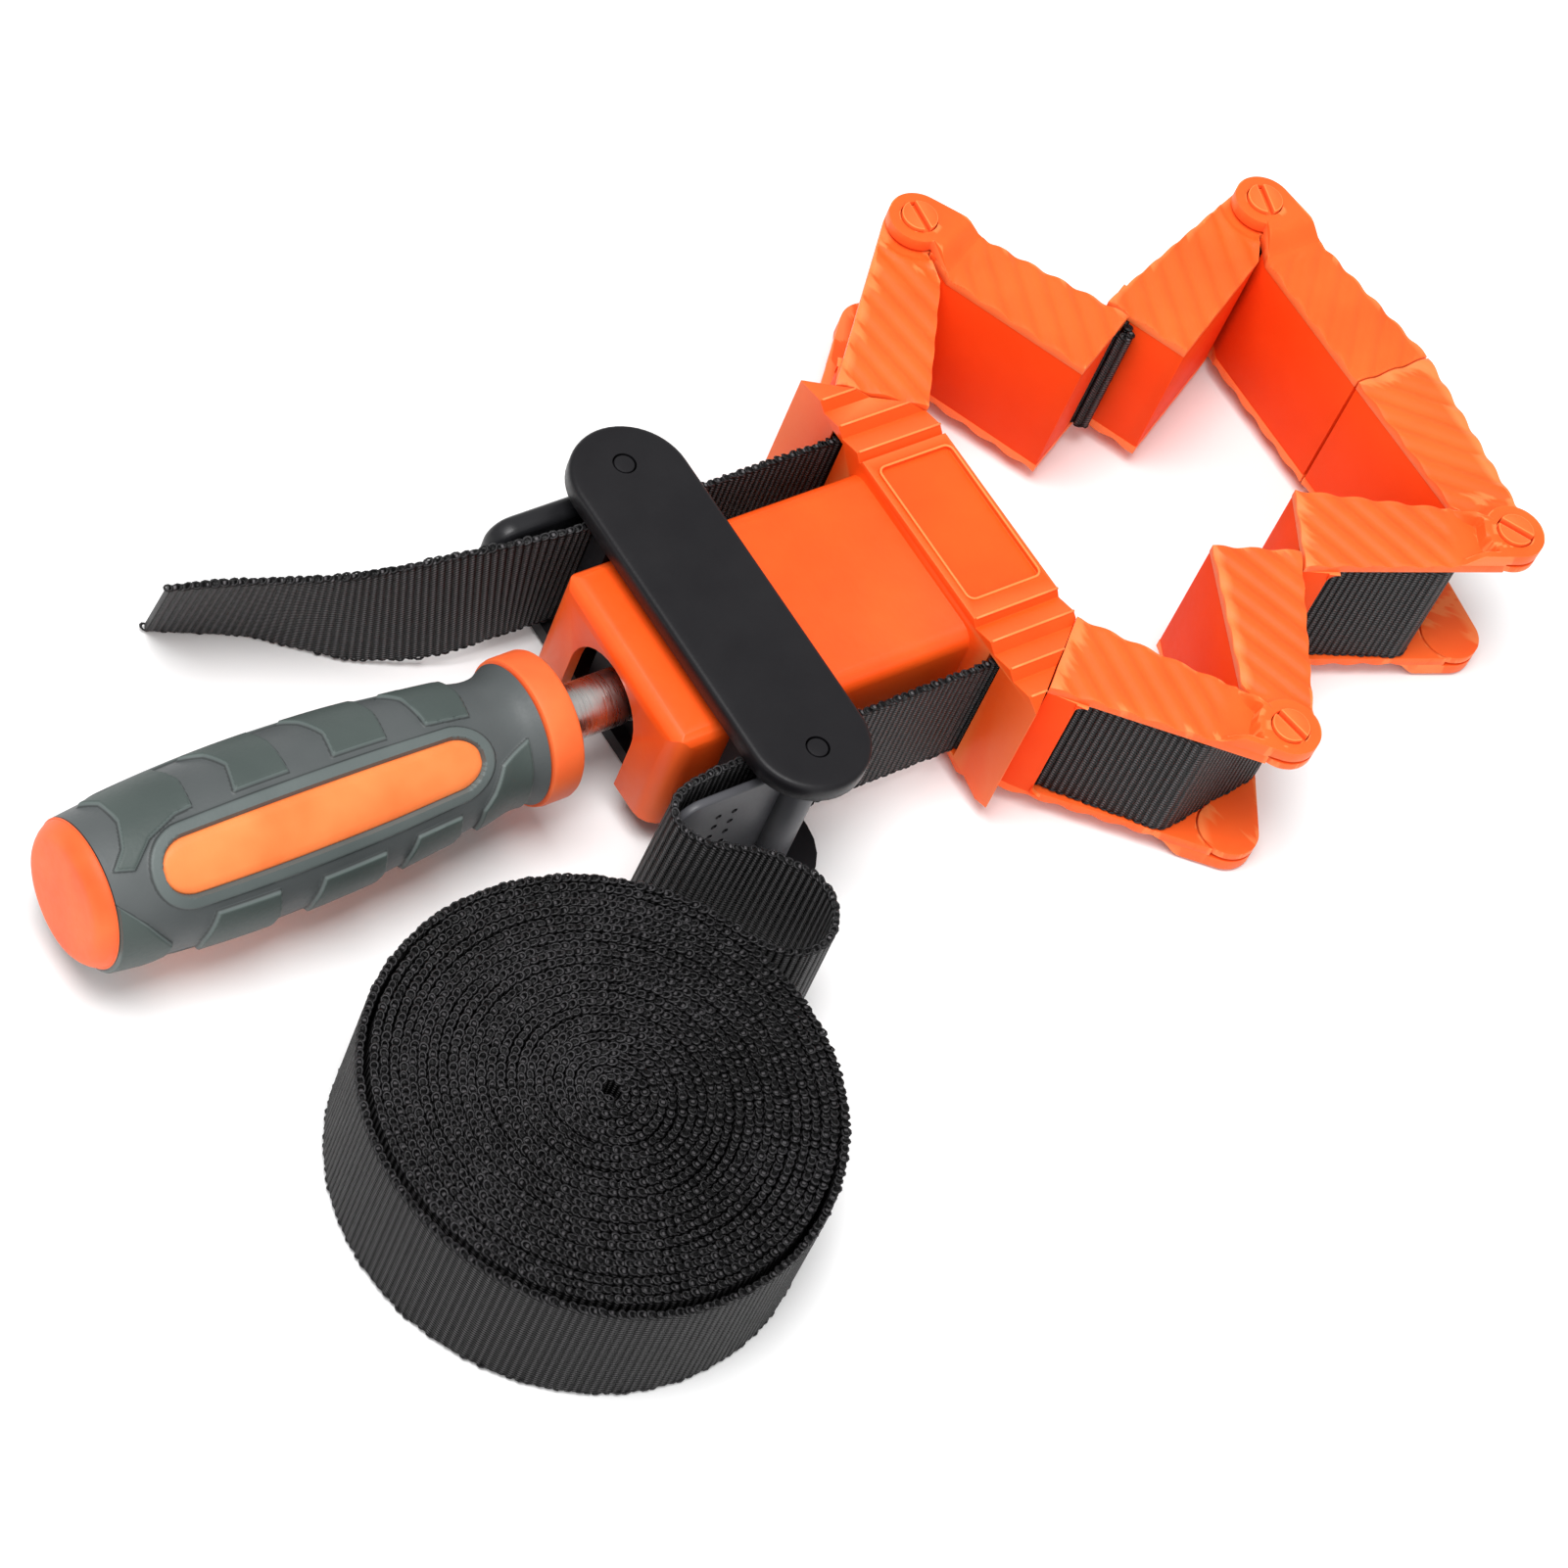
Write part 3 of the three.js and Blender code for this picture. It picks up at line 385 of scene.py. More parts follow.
def selvedge(name, low, high, below=None):
    """Chain stitches along the upper edge, and along the lower one for a number of its points."""
    verts, edges, ups = [], [], []
    for line, way in ((high, 1), (low[:below], -1)):
        first = len(verts)
        for i, p in enumerate(line):
            across = (high[i] - low[i]).normalized() * way
            spot = p - across * .0001
            spot.z = max(spot.z, .0008)
            verts.append(spot)
            ups.append(across)
        edges += [(k, k + 1) for k in range(first, len(verts) - 1)]
    mesh = bpy.data.meshes.new(name)
    mesh.from_pydata(verts, edges, [])
    mesh.attributes.new("across", "FLOAT_VECTOR", "POINT").data.foreach_set(
        "vector", np.array(ups, np.float32).ravel())
    return grown(stitches, mesh, name, yarn_look)


def strap(name, edges, held, rests_on, *nodes, below=None, **webs):
    """A stretch of strap between two edge lines, with its stitches, in place of CAD nodes."""
    band, length = webbing(name, *edges, **webs)
    edge = selvedge(name.removesuffix("_band") + "_edges", *edges, below)
    for node in nodes:
        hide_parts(node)
    return band, edge


def upright(points):
    """The strap's two edge lines over a line on the table, at the height of the clamp."""
    return [[Vector((x, y, z)) for x, y in points] for z in STRAP_Z]


tail = strap("strap_free_end", (flow(TAIL_LOW, 8), flow(TAIL_HIGH, 8)), "hung", ["yoke_frame"], "strap_tail")

# The loop is cut where it passes x = -16 mm, into a root and a bend; the bend's pieces have meshes of their
# own.
loop_low, loop_high = flow(LOOP_LOW, 8), flow(LOOP_HIGH, 8)
past = [a.x + b.x - 2 * LOOP_CUT_X for a, b in zip(loop_low, loop_high)]
crossings = [i for i in range(1, len(past)) if past[i] * past[i - 1] <= 0]
near, far = crossings[0], crossings[-1]
root_low, root_high = upright([(.0035, -STRAP_Y), (-.002, -STRAP_Y)])
root = strap("strap_loop_root", (root_low + loop_low[:near + 1], root_high + loop_high[:near + 1]),
             "stretched", ["yoke_frame"])
loop = strap("strap_loop_bend", (loop_low[near:far + 1], loop_high[near:far + 1]), "folded", ["yoke_frame"],
             "strap_loop")

coil_low, coil_high = loop_low[far:-1], loop_high[far:-1]
for i in range(round(COIL_TURNS * COIL_STEPS) + 1):
    turn = i / COIL_STEPS
    angle = COIL_START + turn * math.tau
    slack = .0011 * max(0.0, math.sin((min(turn, 1) * .9) * math.pi)) ** 2
    radius = COIL_RADIUS - COIL_PITCH * turn + slack + .00012 * math.sin(angle * 3 + turn)
    foot = COIL_CENTRE + Vector((math.cos(angle), math.sin(angle), 0)) * radius
    drop = .0004 * math.sin(turn * 2.1) ** 2 * min(turn, 1)
    coil_low.append(foot + Vector((0, 0, .0005)))
    coil_high.append(foot + Vector((0, 0, WEB_WIDTH - drop)))
coil = strap("strap_coil_band", (coil_low, coil_high), "laid", ["yoke_frame"], "strap_coil", below=70,
             look=coil_shade_look, ribbed=.27)
for piece in (*tail, *root, *loop, *coil):
    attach(piece, "yoke")
for piece in loop:
    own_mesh(piece)

# Strap runs. The two stretches of the same webbing between the yoke and the head, which shorten as the
# yoke is drawn in. The stretches that bend to the head's sloping faces come with the arms.
MID_Z = .018
HEAD_BEND = {"left": (.0424, STRAP_Y), "right": (.0424, -STRAP_Y)}
for name, (_, y) in HEAD_BEND.items():
    pair = strap(name + "_strap_run_band", upright([(-.0076 + .0458 * k / 12, y) for k in range(13)]),
                 "stretched", ["housing", "yoke_frame"], name + "_strap_run")
    for piece in pair:
        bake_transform(piece, "frame", "yoke", start=(.039, y, MID_Z), end=(-.005, y, MID_Z))

# Housing. One orange polypropylene moulding with slightly rounded edges: the channel body with its rounded
# top and the arched hole for the screw, and the wide head with stepped ribs and a bare label recess.
HEAD_X = .0405
HEAD_TOP = .0149
HEAD_STEP = .0015
STEP_SHARE = .8
LABEL_X = (.0427, .0572)
LABEL_Y = (-.0134, .0149)
LABEL_CORNER = .0012
LABEL_ARC = .0014
RIDGE_Y = (-.0336, -.0277, -.0219, -.017, .0192, .025, .0308)
BEAD_HALF = .00022
# Pale orange mixed in at sharp edges: a painted highlight.
EDGE_HIGHLIGHT_COLOUR = (1, .32, .1, 1)


def mixed(share, first, second, way="MIX"):
    """Two colours mixed, or the second laid over the first."""
    feeds = {0: share, 6: first, 7: second}
    return add(first.id_data, "ShaderNodeMix", feeds, data_type="RGBA", blend_type=way).node.outputs[2]


def orange_finish(name, deep, bright, rough, shine=.25, pale=1):
    look, tree, shader = blank(name, shine)
    cloud, grain = noise(tree, 60, 3), noise(tree, 900, 3)
    shape = tree.nodes.new("ShaderNodeNewGeometry")
    # Sharp edges, found by their pointiness, are mixed towards the pale edge orange by the share pale: a
    # painted highlight.
    edge = calc("MULTIPLY", calc("SUBTRACT", shape.outputs["Pointiness"], .52), 5)
    edge = calc("SMOOTH_MIN", calc("MAXIMUM", edge, 0), .45, .1)
    orange = mixed(calc("MULTIPLY", edge, pale), ramp(cloud, ((.3, deep), (.7, bright))), EDGE_HIGHLIGHT_COLOUR)
    finish(shader, orange, calc("MULTIPLY_ADD", grain, .16, rough),
           bump(grain, .00004, .5, Normal=bump(cloud, .0003, .35)),
           **{"Subsurface Weight": .08, "Subsurface Radius": (.004, .0012, .0005), "Subsurface Scale": 1})
    return look


orange_look = orange_finish("orange_plastic", (.9, .078, .006), (.96, .1, .009), .3)
# The material of the rounded edges, a paler orange: a painted highlight.
edge_highlight_look = orange_finish("orange_painted_edge_highlight", (1, .2, .045), (1, .25, .06), .3)
# A darker orange for the risers of the head's steps, painted shade, with a weaker painted edge highlight.
riser_shade_look = orange_finish("riser_painted_shade", (.86, .064, .006), (.92, .078, .009), .4, .1, .2)


def rounded(piece, edge, segments=2, angle=50, smooth=40):
    """The piece with rounded edges, paler on orange ones: a painted highlight."""
    if piece.data.materials[0].name in ("orange_plastic", "arm_painted_light_orange"):
        piece.data.materials.append(edge_highlight_look)
    rounding = piece.modifiers.new("edge", "BEVEL")
    rounding.width = edge
    rounding.segments = segments
    rounding.limit_method = "ANGLE"
    rounding.angle_limit = math.radians(angle)
    rounding.material = len(piece.data.materials) - 1
    finished = baked(piece)
    piece.modifiers.clear()
    piece.data = finished
    soften(finished, smooth)
    return piece


def moulding(node, look, name, edge, angle=35, reshape=None):
    """A copy of the frame's solid with its joins merged and its edges rounded."""
    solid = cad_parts[node].data.copy()
    shell = bmesh.new()
    shell.from_mesh(solid)
    bmesh.ops.remove_doubles(shell, verts=shell.verts, dist=4e-6)
    bmesh.ops.dissolve_limit(shell, angle_limit=math.radians(1), verts=shell.verts, edges=shell.edges)
    shell.to_mesh(solid)
    shell.free()
    if reshape:
        for v in solid.vertices:
            v.co = reshape(v.co)
    piece = rounded(object_of(name, solid, look), edge, 2, angle, 25)
    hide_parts(node)
    return piece


def fit(piece, body, slot, *nodes):
    """Puts a piece on its body and hides the CAD nodes that it stands for; the slot is not used."""
    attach(piece, body)
    for node in nodes:
        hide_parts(node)


def shallow_steps(p):
    """The head's steps at eight tenths of their depth, as they look in the light."""
    high = abs(p.z - MID_Z)
    if p.x > HEAD_X and abs(p.y) > .016 and high > HEAD_TOP - HEAD_STEP - .0002:
        high = HEAD_TOP - (HEAD_TOP - high) * STEP_SHARE
        return Vector((p.x, p.y, MID_Z + math.copysign(high, p.z - MID_Z)))
    return p


def arc(radius, start, end, steps):
    turns = [math.radians(start + (end - start) * k / steps) for k in range(steps + 1)]
    return [(radius * math.cos(turn), radius * math.sin(turn)) for turn in turns]


def bead_ring(spot, out, face, rise):
    """A thin raised bead's outline at one point of its line, on the head's upper or lower face."""
    return [spot + out * BEAD_HALF * u + Vector((0, 0, MID_Z + face * (HEAD_TOP + rise * v)))
            for u, v in arc(1, 0, 315, 7)]


housing = moulding("housing", orange_look, "housing_moulding", .00028, 28, shallow_steps)
housing.data.materials.append(riser_shade_look)
for face in housing.data.polygons:
    middle = face.center
    if middle.x > HEAD_X and abs(middle.y) > .0165 and abs(middle.z - MID_Z) > HEAD_TOP - HEAD_STEP:
        face.use_smooth = False
        # Risers that face -y take the darker orange: painted shade.
        if face.normal.y < -.2 and abs(face.normal.z) > .3:
            face.material_index = len(housing.data.materials) - 1
line = []
for right, upper, first in ((1, 1, 0), (0, 1, 90), (0, 0, 180), (1, 0, 270)):
    corner = Vector((LABEL_X[right] + (1 - 2 * right) * LABEL_CORNER,
                     LABEL_Y[upper] + (1 - 2 * upper) * LABEL_CORNER, 0))
    line += [corner + Vector((u, v, 0)) for u, v in arc(LABEL_ARC, first, first + 90, 6)]
beads = ([], [])
for face in (1, -1):
    for y in RIDGE_Y:
        end = .0583 - max(0, abs(y) - .023) / .0134 * .0173
        spots = [Vector((x, y, 0)) for x in np.linspace(.0414, end, 5)]
        tube([bead_ring(spot, Vector((0, 1, 0)), face, .00016) for spot in spots], beads)
    rings = []
    for i, p in enumerate(line):
        ahead = (line[(i + 1) % len(line)] - line[i - 1]).normalized()
        rings.append(bead_ring(p, Vector((ahead.y, -ahead.x, 0)), face, .00018))
    tube(rings, beads, ends=False)
# The beads take the pale edge orange: a painted highlight along the ridges and the label's rim.
rim = object_of("label_rim", mesh_of("label_rim", beads), edge_highlight_look)
for piece in (housing, rim):
    fit(piece, "frame", "orange_plastic")

# Screw. A turned steel spindle with a 3 mm pitch thread inside the channel, a shoulder, a groove for the
# keeper plate and a spigot in the head. The keeper and the washer are stamped; the nut is a bevelled block.
THREAD_X = (-.0155, .0325)
THREAD_PITCH = .003
THREAD_DEPTH = .13
ROD_R = .0047


def steel_finish(name, colour, rough, stretch):
    look, tree, shader = blank(name, .5)
    marks, stain = noise(tree, 300, 4, stretch), noise(tree, 90, 2)
    steel = ramp(stain, ((.35, tuple(c * .6 for c in colour)), (.6, colour)))
    finish(shader, steel, calc("MULTIPLY_ADD", marks, .3, rough), bump(marks, .00005, .6), Metallic=1)
    return look


steel_look = steel_finish("bright_steel", (.62, .6, .58), .14, (8, 1, 1))
plate_look = steel_finish("plated_steel", (.45, .44, .42), .3, (1, 1, 1))


def lathe(name, profile, steps, look, middle=MID_Z):
    """A turned body about the spindle's line, from (x, radius) points in metres."""
    rings = [[(x, u, middle + v) for u, v in arc(r, 0, 360 - 360 / steps, steps - 1)] for x, r in profile]
    return object_of(name, mesh_of(name, tube(rings), 38), look)


rod_x = [-.0696, -.0165] + [THREAD_X[0] + .0003 * k for k in range(161)] + [.0331, .0334]
rod = [(-.07, .0043)] + [(x, ROD_R) for x in rod_x] + [
    (.0334, .0036), (.0352, .0036), (.0352, ROD_R), (.0378, ROD_R), (.0378, .003), (.0445, .003),
    (.0448, .0027)]
spindle = lathe("screw_spindle", rod, 40, steel_look)
for v in spindle.data.vertices:
    y, z = v.co.y, v.co.z - MID_Z
    if THREAD_X[0] < v.co.x < THREAD_X[1] and math.hypot(y, z) > ROD_R - .0001:
        fade = min(1, (v.co.x - THREAD_X[0]) / .002, (THREAD_X[1] - v.co.x) / .002)
        turn = (v.co.x / THREAD_PITCH - math.atan2(z, y) / math.tau) % 1
        deep = 1 - max(0, min(1, (abs(turn - .5) - .16) * 5))
        v.co.y, v.co.z = y * (1 - THREAD_DEPTH * deep * fade), MID_Z + z * (1 - THREAD_DEPTH * deep * fade)
fit(spindle, "screw", "steel", "spindle")
for node, body, edge in (("keeper_plate", "frame", .0002), ("thrust_washer", "screw", .0003),
                         ("spindle_nut", "yoke", .0003)):
    fit(moulding(node, plate_look, node + "_stamping", edge), body, "steel")

# Handle. A hard orange core gives the collar, the domed butt and the three long inlays; a soft grey-green
# rubber grip over it has raised pads between the inlays, a raised rim round each inlay and a waist at the
# collar. The pads' outlines are x in millimetres and degrees from each panel's middle.
GRIP_LINE = ((-.1132, .0122), (-.107, .0129), (-.097, .0137), (-.085, .0141), (-.067, .0136), (-.055, .0125),
             (-.046, .0115), (-.0405, .0105), (-.0376, .0107), (-.0352, .0118))
GRIP_R = .0136
GRIP_BORE = .0095
GRIP_ROWS = 300
GRIP_STEPS = 320
BUTT_LINE = ((-.1163, .001), (-.1163, .0085), (-.1162, .0094), (-.116, .0101), (-.1154, .0108),
             (-.1147, .0114), (-.114, .0118), (-.1135, .0119), (-.1134, .0122), (-.1133, .0092))
COLLAR_LINE = ((-.0349, .0092), (-.0349, .012), (-.03465, .01235), (-.034, .0125), (-.0298, .0125),
               (-.0293, .0123), (-.029, .012), (-.0289, .0115), (-.0289, .005))
INLAY_X = (-.1047, -.0468)
INLAY_HALF = .0049
INLAY_EDGE = .0006
INLAY_ANGLES = (5, 125, 245)
INLAY_SHARES = (-1, -1, -.97, -.88, -.6, -.3, 0, .3, .6, .88, .97, 1, 1)
PADS = {
    65: (((-110, -24), (-108, -10), (-107.8, 14), (-109.5, 34), (-112, 46), (-109, 50), (-105, 34),
          (-99.5, 25), (-96.5, 24), (-95.5, 0), (-97, -24)),
         ((-92, -26), (-89, -14), (-87.6, 4), (-89.2, 25), (-79.6, 25), (-79, 0), (-79.6, -26)),
         ((-74, -28), (-72, -14), (-70.6, 6), (-71.6, 25), (-61.8, 25), (-60.6, 0), (-60.9, -28)),
         ((-56.6, -26), (-54.6, -8), (-54.2, 24), (-46.4, 27), (-45.4, 4), (-45.4, -24))),
    185: (((-113.6, -52), (-109, -30), (-104.4, -4), (-105, 8), (-113, 46)),
          ((-97.2, -23), (-99, 4), (-98.4, 24), (-86, 24), (-85.6, 0), (-86.4, -23)),
          ((-78.4, -20), (-79.6, 4), (-79, 24), (-67, 24), (-66.4, 0), (-67, -20)),
          ((-60.8, -21), (-62.2, 0), (-61.6, 22), (-52.2, 22), (-51.6, 0), (-52.2, -20)),
          ((-43.6, -47), (-45.8, -27), (-47.8, -14), (-47.8, 14), (-45.8, 27), (-43.6, 47), (-38, 60),
           (-38, -60)))}
PADS[305] = PADS[185]
PAD_DEGREE = .24
PAD_HEIGHT = .0008
RIM_HEIGHT = .0004
RIM_WIDTH = .0021
SOFT_EDGE = .4
grip_curve = flow([(x, r, 0) for x, r in GRIP_LINE], 10)


def grip_radius(x):
    return float(np.interp(x, [p.x for p in grip_curve], [p.y for p in grip_curve]))


core_look = orange_finish("handle_orange", (.88, .09, .017), (.95, .165, .042), .42)
inlay_look = orange_finish("inlay_orange", (.86, .15, .03), (.95, .25, .07), .42)
core = lathe("handle_core_body", BUTT_LINE + COLLAR_LINE, 96, core_look)
shares = np.linspace(1, -1, 61)
stops = sum(INLAY_X) / 2 - (INLAY_X[1] - INLAY_X[0]) / 2 * np.sign(shares) * (1 - (1 - abs(shares)) ** 1.6)
body = ([], [])
for centre in INLAY_ANGLES:
    rings = []
    for x in stops:
        past = max(0, INLAY_X[0] + INLAY_HALF - x, x - INLAY_X[1] + INLAY_HALF)
        half = math.sqrt(max(INLAY_HALF ** 2 - past ** 2, 1e-9))
        ring = []
        for k, share in enumerate(INLAY_SHARES):
            rim = max(0, abs(share) * half - half + INLAY_EDGE, past - INLAY_HALF + INLAY_EDGE) / INLAY_EDGE
            drop = .003 if k in (0, 12) else .00025 + INLAY_EDGE * rim ** 2
            r, a = grip_radius(x) - drop, math.radians(centre) + share * half / GRIP_R
            ring.append((x, r * math.cos(a), MID_Z + r * math.sin(a)))
        rings.append(ring)
    tube(rings, body)
inlays = object_of("handle_inlays", mesh_of("handle_inlays", body), inlay_look)


def reach(px, ps, outline):
    """Signed distance from points to a closed outline, positive inside, in the outline's units."""
    best = np.full(px.shape, 1e9)
    inside = np.zeros(px.shape, bool)
    for (x0, s0), (x1, s1) in zip(outline, outline[1:] + outline[:1]):
        dx, ds = x1 - x0, s1 - s0
        t = np.clip(((px - x0) * dx + (ps - s0) * ds) / (dx * dx + ds * ds), 0, 1)
        best = np.minimum(best, np.hypot(px - x0 - t * dx, ps - s0 - t * ds))
        crosses = (s0 > ps) != (s1 > ps)
        with np.errstate(divide="ignore", invalid="ignore"):
            inside ^= crosses & (px < dx * (ps - s0) / (ds if ds else 1e-9) + x0)
    return np.where(inside, best, -best)


grip_x = np.linspace(-.1132, -.0352, GRIP_ROWS)
angles = np.arange(GRIP_STEPS) * 360 / GRIP_STEPS
gx, ga = np.meshgrid(grip_x * 1000, angles, indexing="ij")
height = np.zeros(gx.shape)
for centre, pads in PADS.items():
    away = ((ga - centre + 180) % 360 - 180) * PAD_DEGREE
    for pad in pads:
        d = reach(gx, away, [(x, a * PAD_DEGREE) for x, a in pad])
        height = np.maximum(height, np.clip(d / SOFT_EDGE + .5, 0, 1) * PAD_HEIGHT)
opening = np.zeros(gx.shape)
half = INLAY_HALF * 1000
for centre in INLAY_ANGLES:
    away = np.radians((ga - centre + 180) % 360 - 180) * GRIP_R * 1000
    d = np.hypot(gx - np.clip(gx, INLAY_X[0] * 1000 + half, INLAY_X[1] * 1000 - half), away) - half
    height = np.maximum(height, np.clip((RIM_WIDTH * 1000 - d) / SOFT_EDGE + .5, 0, 1) * RIM_HEIGHT)
    opening = np.maximum(opening, np.clip((.1 - d) / .3, 0, 1))
radius = np.array([grip_radius(x) for x in grip_x])[:, None] + height - opening * .0016
bore = np.full((2, GRIP_STEPS), GRIP_BORE)
turns = np.radians(angles)
rings = [list(zip(np.full(GRIP_STEPS, x), row * np.cos(turns), MID_Z + row * np.sin(turns)))
         for x, row in zip([*grip_x, grip_x[-1], grip_x[0]], np.concatenate([radius, bore]))]
grip_mesh = mesh_of("handle_grip_shell", tube(rings, ends=False), 60)
grip_mesh.attributes.new("pad", "FLOAT", "POINT").data.foreach_set(
    "value", np.concatenate([(height / PAD_HEIGHT).ravel(), np.zeros(2 * GRIP_STEPS)]).astype(np.float32))

rubber_look, tree, shader = blank("grip_rubber", .35)
cloud, grain = noise(tree, 45, 3), noise(tree, 1500, 3)
plain = ramp(cloud, ((.3, (.06, .068, .069)), (.7, (.088, .097, .098))))
raised = ramp(cloud, ((.3, (.045, .06, .056)), (.7, (.066, .084, .078))))
pad = add(tree, "ShaderNodeAttribute", attribute_name="pad").node.outputs["Fac"]
# Along each pad's sloping edge the colour is darker at the foot, painted shade, and lighter towards the top,
# painted highlight.
pad_edge_light_and_shade = ramp(pad, [(place, (light, light, light)) for place, light in (
    (0, 1), (.06, .55), (.25, .6), (.45, 1.5), (.8, 1.7), (.97, 1))])
finish(shader, mixed(1, mixed(pad, plain, raised), pad_edge_light_and_shade, "MULTIPLY"),
       calc("MULTIPLY_ADD", grain, .15, .42), bump(grain, .00006, .6))
grip = object_of("handle_grip_shell", grip_mesh, rubber_look)
fit(core, "screw", "orange_plastic", "handle_core")
fit(inlays, "screw", "orange_plastic")
fit(grip, "screw", "grip_rubber", "handle_grip")

# Yoke. Two dark glass-filled nylon plates with round ends and softly rounded rims; the lower one carries the
# nut block and two walls that the strap is squeezed against. Steel pins join them, flush with the top.
SIDES = (("left", 1), ("right", -1))
YOKE_HALF_X = .0106
YOKE_ARC_Y = .0271
YOKE_RIM = ((.0003, .0324), (0, .0327), (0, .0351), (.0001, .0355), (.0003, .03575), (.0006, .03592),
            (.001, .036), (.0024, .036))
PIN_Y = .0298
PIN_HOLE_R = .00205
PIN_LINE = ((.0001, .0012), (.0001, .0018), (.0357, .0018), (.0359, .00168), (.03595, .0014))


def dark_finish(name, low, high, rough, relief=.6, shine=.3):
    look, tree, shader = blank(name, shine)
    cloud, grain = noise(tree, 70, 3), noise(tree, 1800, 2)
    finish(shader, ramp(cloud, ((.3, low), (.7, high))), calc("MULTIPLY_ADD", grain, .14, rough),
           bump(grain, .00003, relief, Normal=bump(cloud, .0002, .3)))
    return look


dark_look = dark_finish("dark_nylon", (.006, .0055, .007), (.01, .0095, .011), .34, .6, .22)
# Two copies of the levers' nylon: a lighter grey, a painted reflection, and a near black, painted shade.
lever_lit_look = dark_finish("lever_nylon", (.05, .05, .055), (.072, .072, .08), .3, .15)
lever_shaded_look = dark_finish("lever_nylon_black", (.008, .008, .009), (.013, .013, .015), .26, .15)


def stadium(half, z):
    return [(u, way * YOKE_ARC_Y + v, z)
            for way in (1, -1) for u, v in arc(half, 90 - 90 * way, 270 - 90 * way, 27)]


def settled(name, shell):
    """A mesh made of a bmesh, which is then freed."""
    mesh = bpy.data.meshes.new(name)
    shell.to_mesh(mesh)
    shell.free()
    return mesh


def carved(piece, shape):
    """The piece's mesh with the shape of a bmesh taken away."""
    cutter = linked("cutter", settled("cutter", shape))
    knife = piece.modifiers.new("carve", "BOOLEAN")
    knife.object = cutter
    knife.operation = "DIFFERENCE"
    mesh = baked(piece)
    piece.modifiers.clear()
    bpy.data.objects.remove(cutter)
    return mesh


cover = mesh_of("yoke_cover", tube([stadium(YOKE_HALF_X - inset, z) for inset, z in YOKE_RIM]))
yoke_cover = object_of("yoke_cover", cover, dark_look)
holes = bmesh.new()
for _, side in SIDES:
    bmesh.ops.create_cone(holes, cap_ends=True, segments=40, radius1=PIN_HOLE_R, radius2=PIN_HOLE_R,
                          depth=.02, matrix=Matrix.Translation((0, PIN_Y * side, .036)))
yoke_cover.data = carved(yoke_cover, holes)
soften(yoke_cover.data, 50)
fit(yoke_cover, "yoke", "dark_plastic", "yoke_top_plate")
fit(moulding("yoke_frame", dark_look, "yoke_base", .0003), "yoke", "dark_plastic")
for name, side in SIDES:
    pin = lathe(name + "_pin_rod", PIN_LINE, 32, dark_look, middle=0)
    pin.data.transform(Matrix(((0, 1, 0, 0), (0, 0, 1, PIN_Y * side), (1, 0, 0, 0), (0, 0, 0, 1))))
    fit(pin, "yoke", "steel", name + "_lever_pin")

# Cam levers. Moulded dark nylon: a hub on the pin, a nose that bites the strap, and a thumb plate with a
# rounded outer end and two rows of dimples. Sizes are in millimetres about the pin and the mid-height.
LEVER_END = -23.8
LEVER_ROOT = -1.5
LEVER_HALF = 11.3
LEVER_CORNER = 4.5
LEVER_FACES = {"left": (27.7, 31.7), "right": (27.7, 29.3)}
LEVER_EDGE = {"left": .0013, "right": .0005}
# The two levers are one moulding: the right one takes the lighter grey, a painted reflection, the left one
# the near black, painted shade.
LEVER_LOOK = {"left": lever_shaded_look, "right": lever_lit_look}
HUB_R = 3.1
HUB_EDGE = ((HUB_R, 13.8), (HUB_R - .09, 14), (HUB_R - .3, 14.1), (1.95, 14.1))
HUB_LINE = [(r, -z) for r, z in reversed(HUB_EDGE)] + [*HUB_EDGE]
DIMPLE_R = .0006
DIMPLE_X = (-11.9, -15)
DIMPLE_Z = (-5.8, -2.9, 0, 2.9, 5.8)
NOSE = ((-3.1, 28.95), (-2.33, 25.35), (-1.24, 25.1), (.31, 25.2), (2.48, 28.56))
NOSE_HALF = 12.5


def prism(outline, z0, z1, body=None):
    """A straight-sided block on an outline."""
    return tube([[(u, v, z) for u, v in outline] for z in (z0, z1)], body)


def join(whole, mesh, turn=Matrix()):
    """Adds a mesh, turned or flipped, to a bmesh; the mesh goes."""
    mesh.transform(turn)
    whole.from_mesh(mesh)
    bpy.data.meshes.remove(mesh)


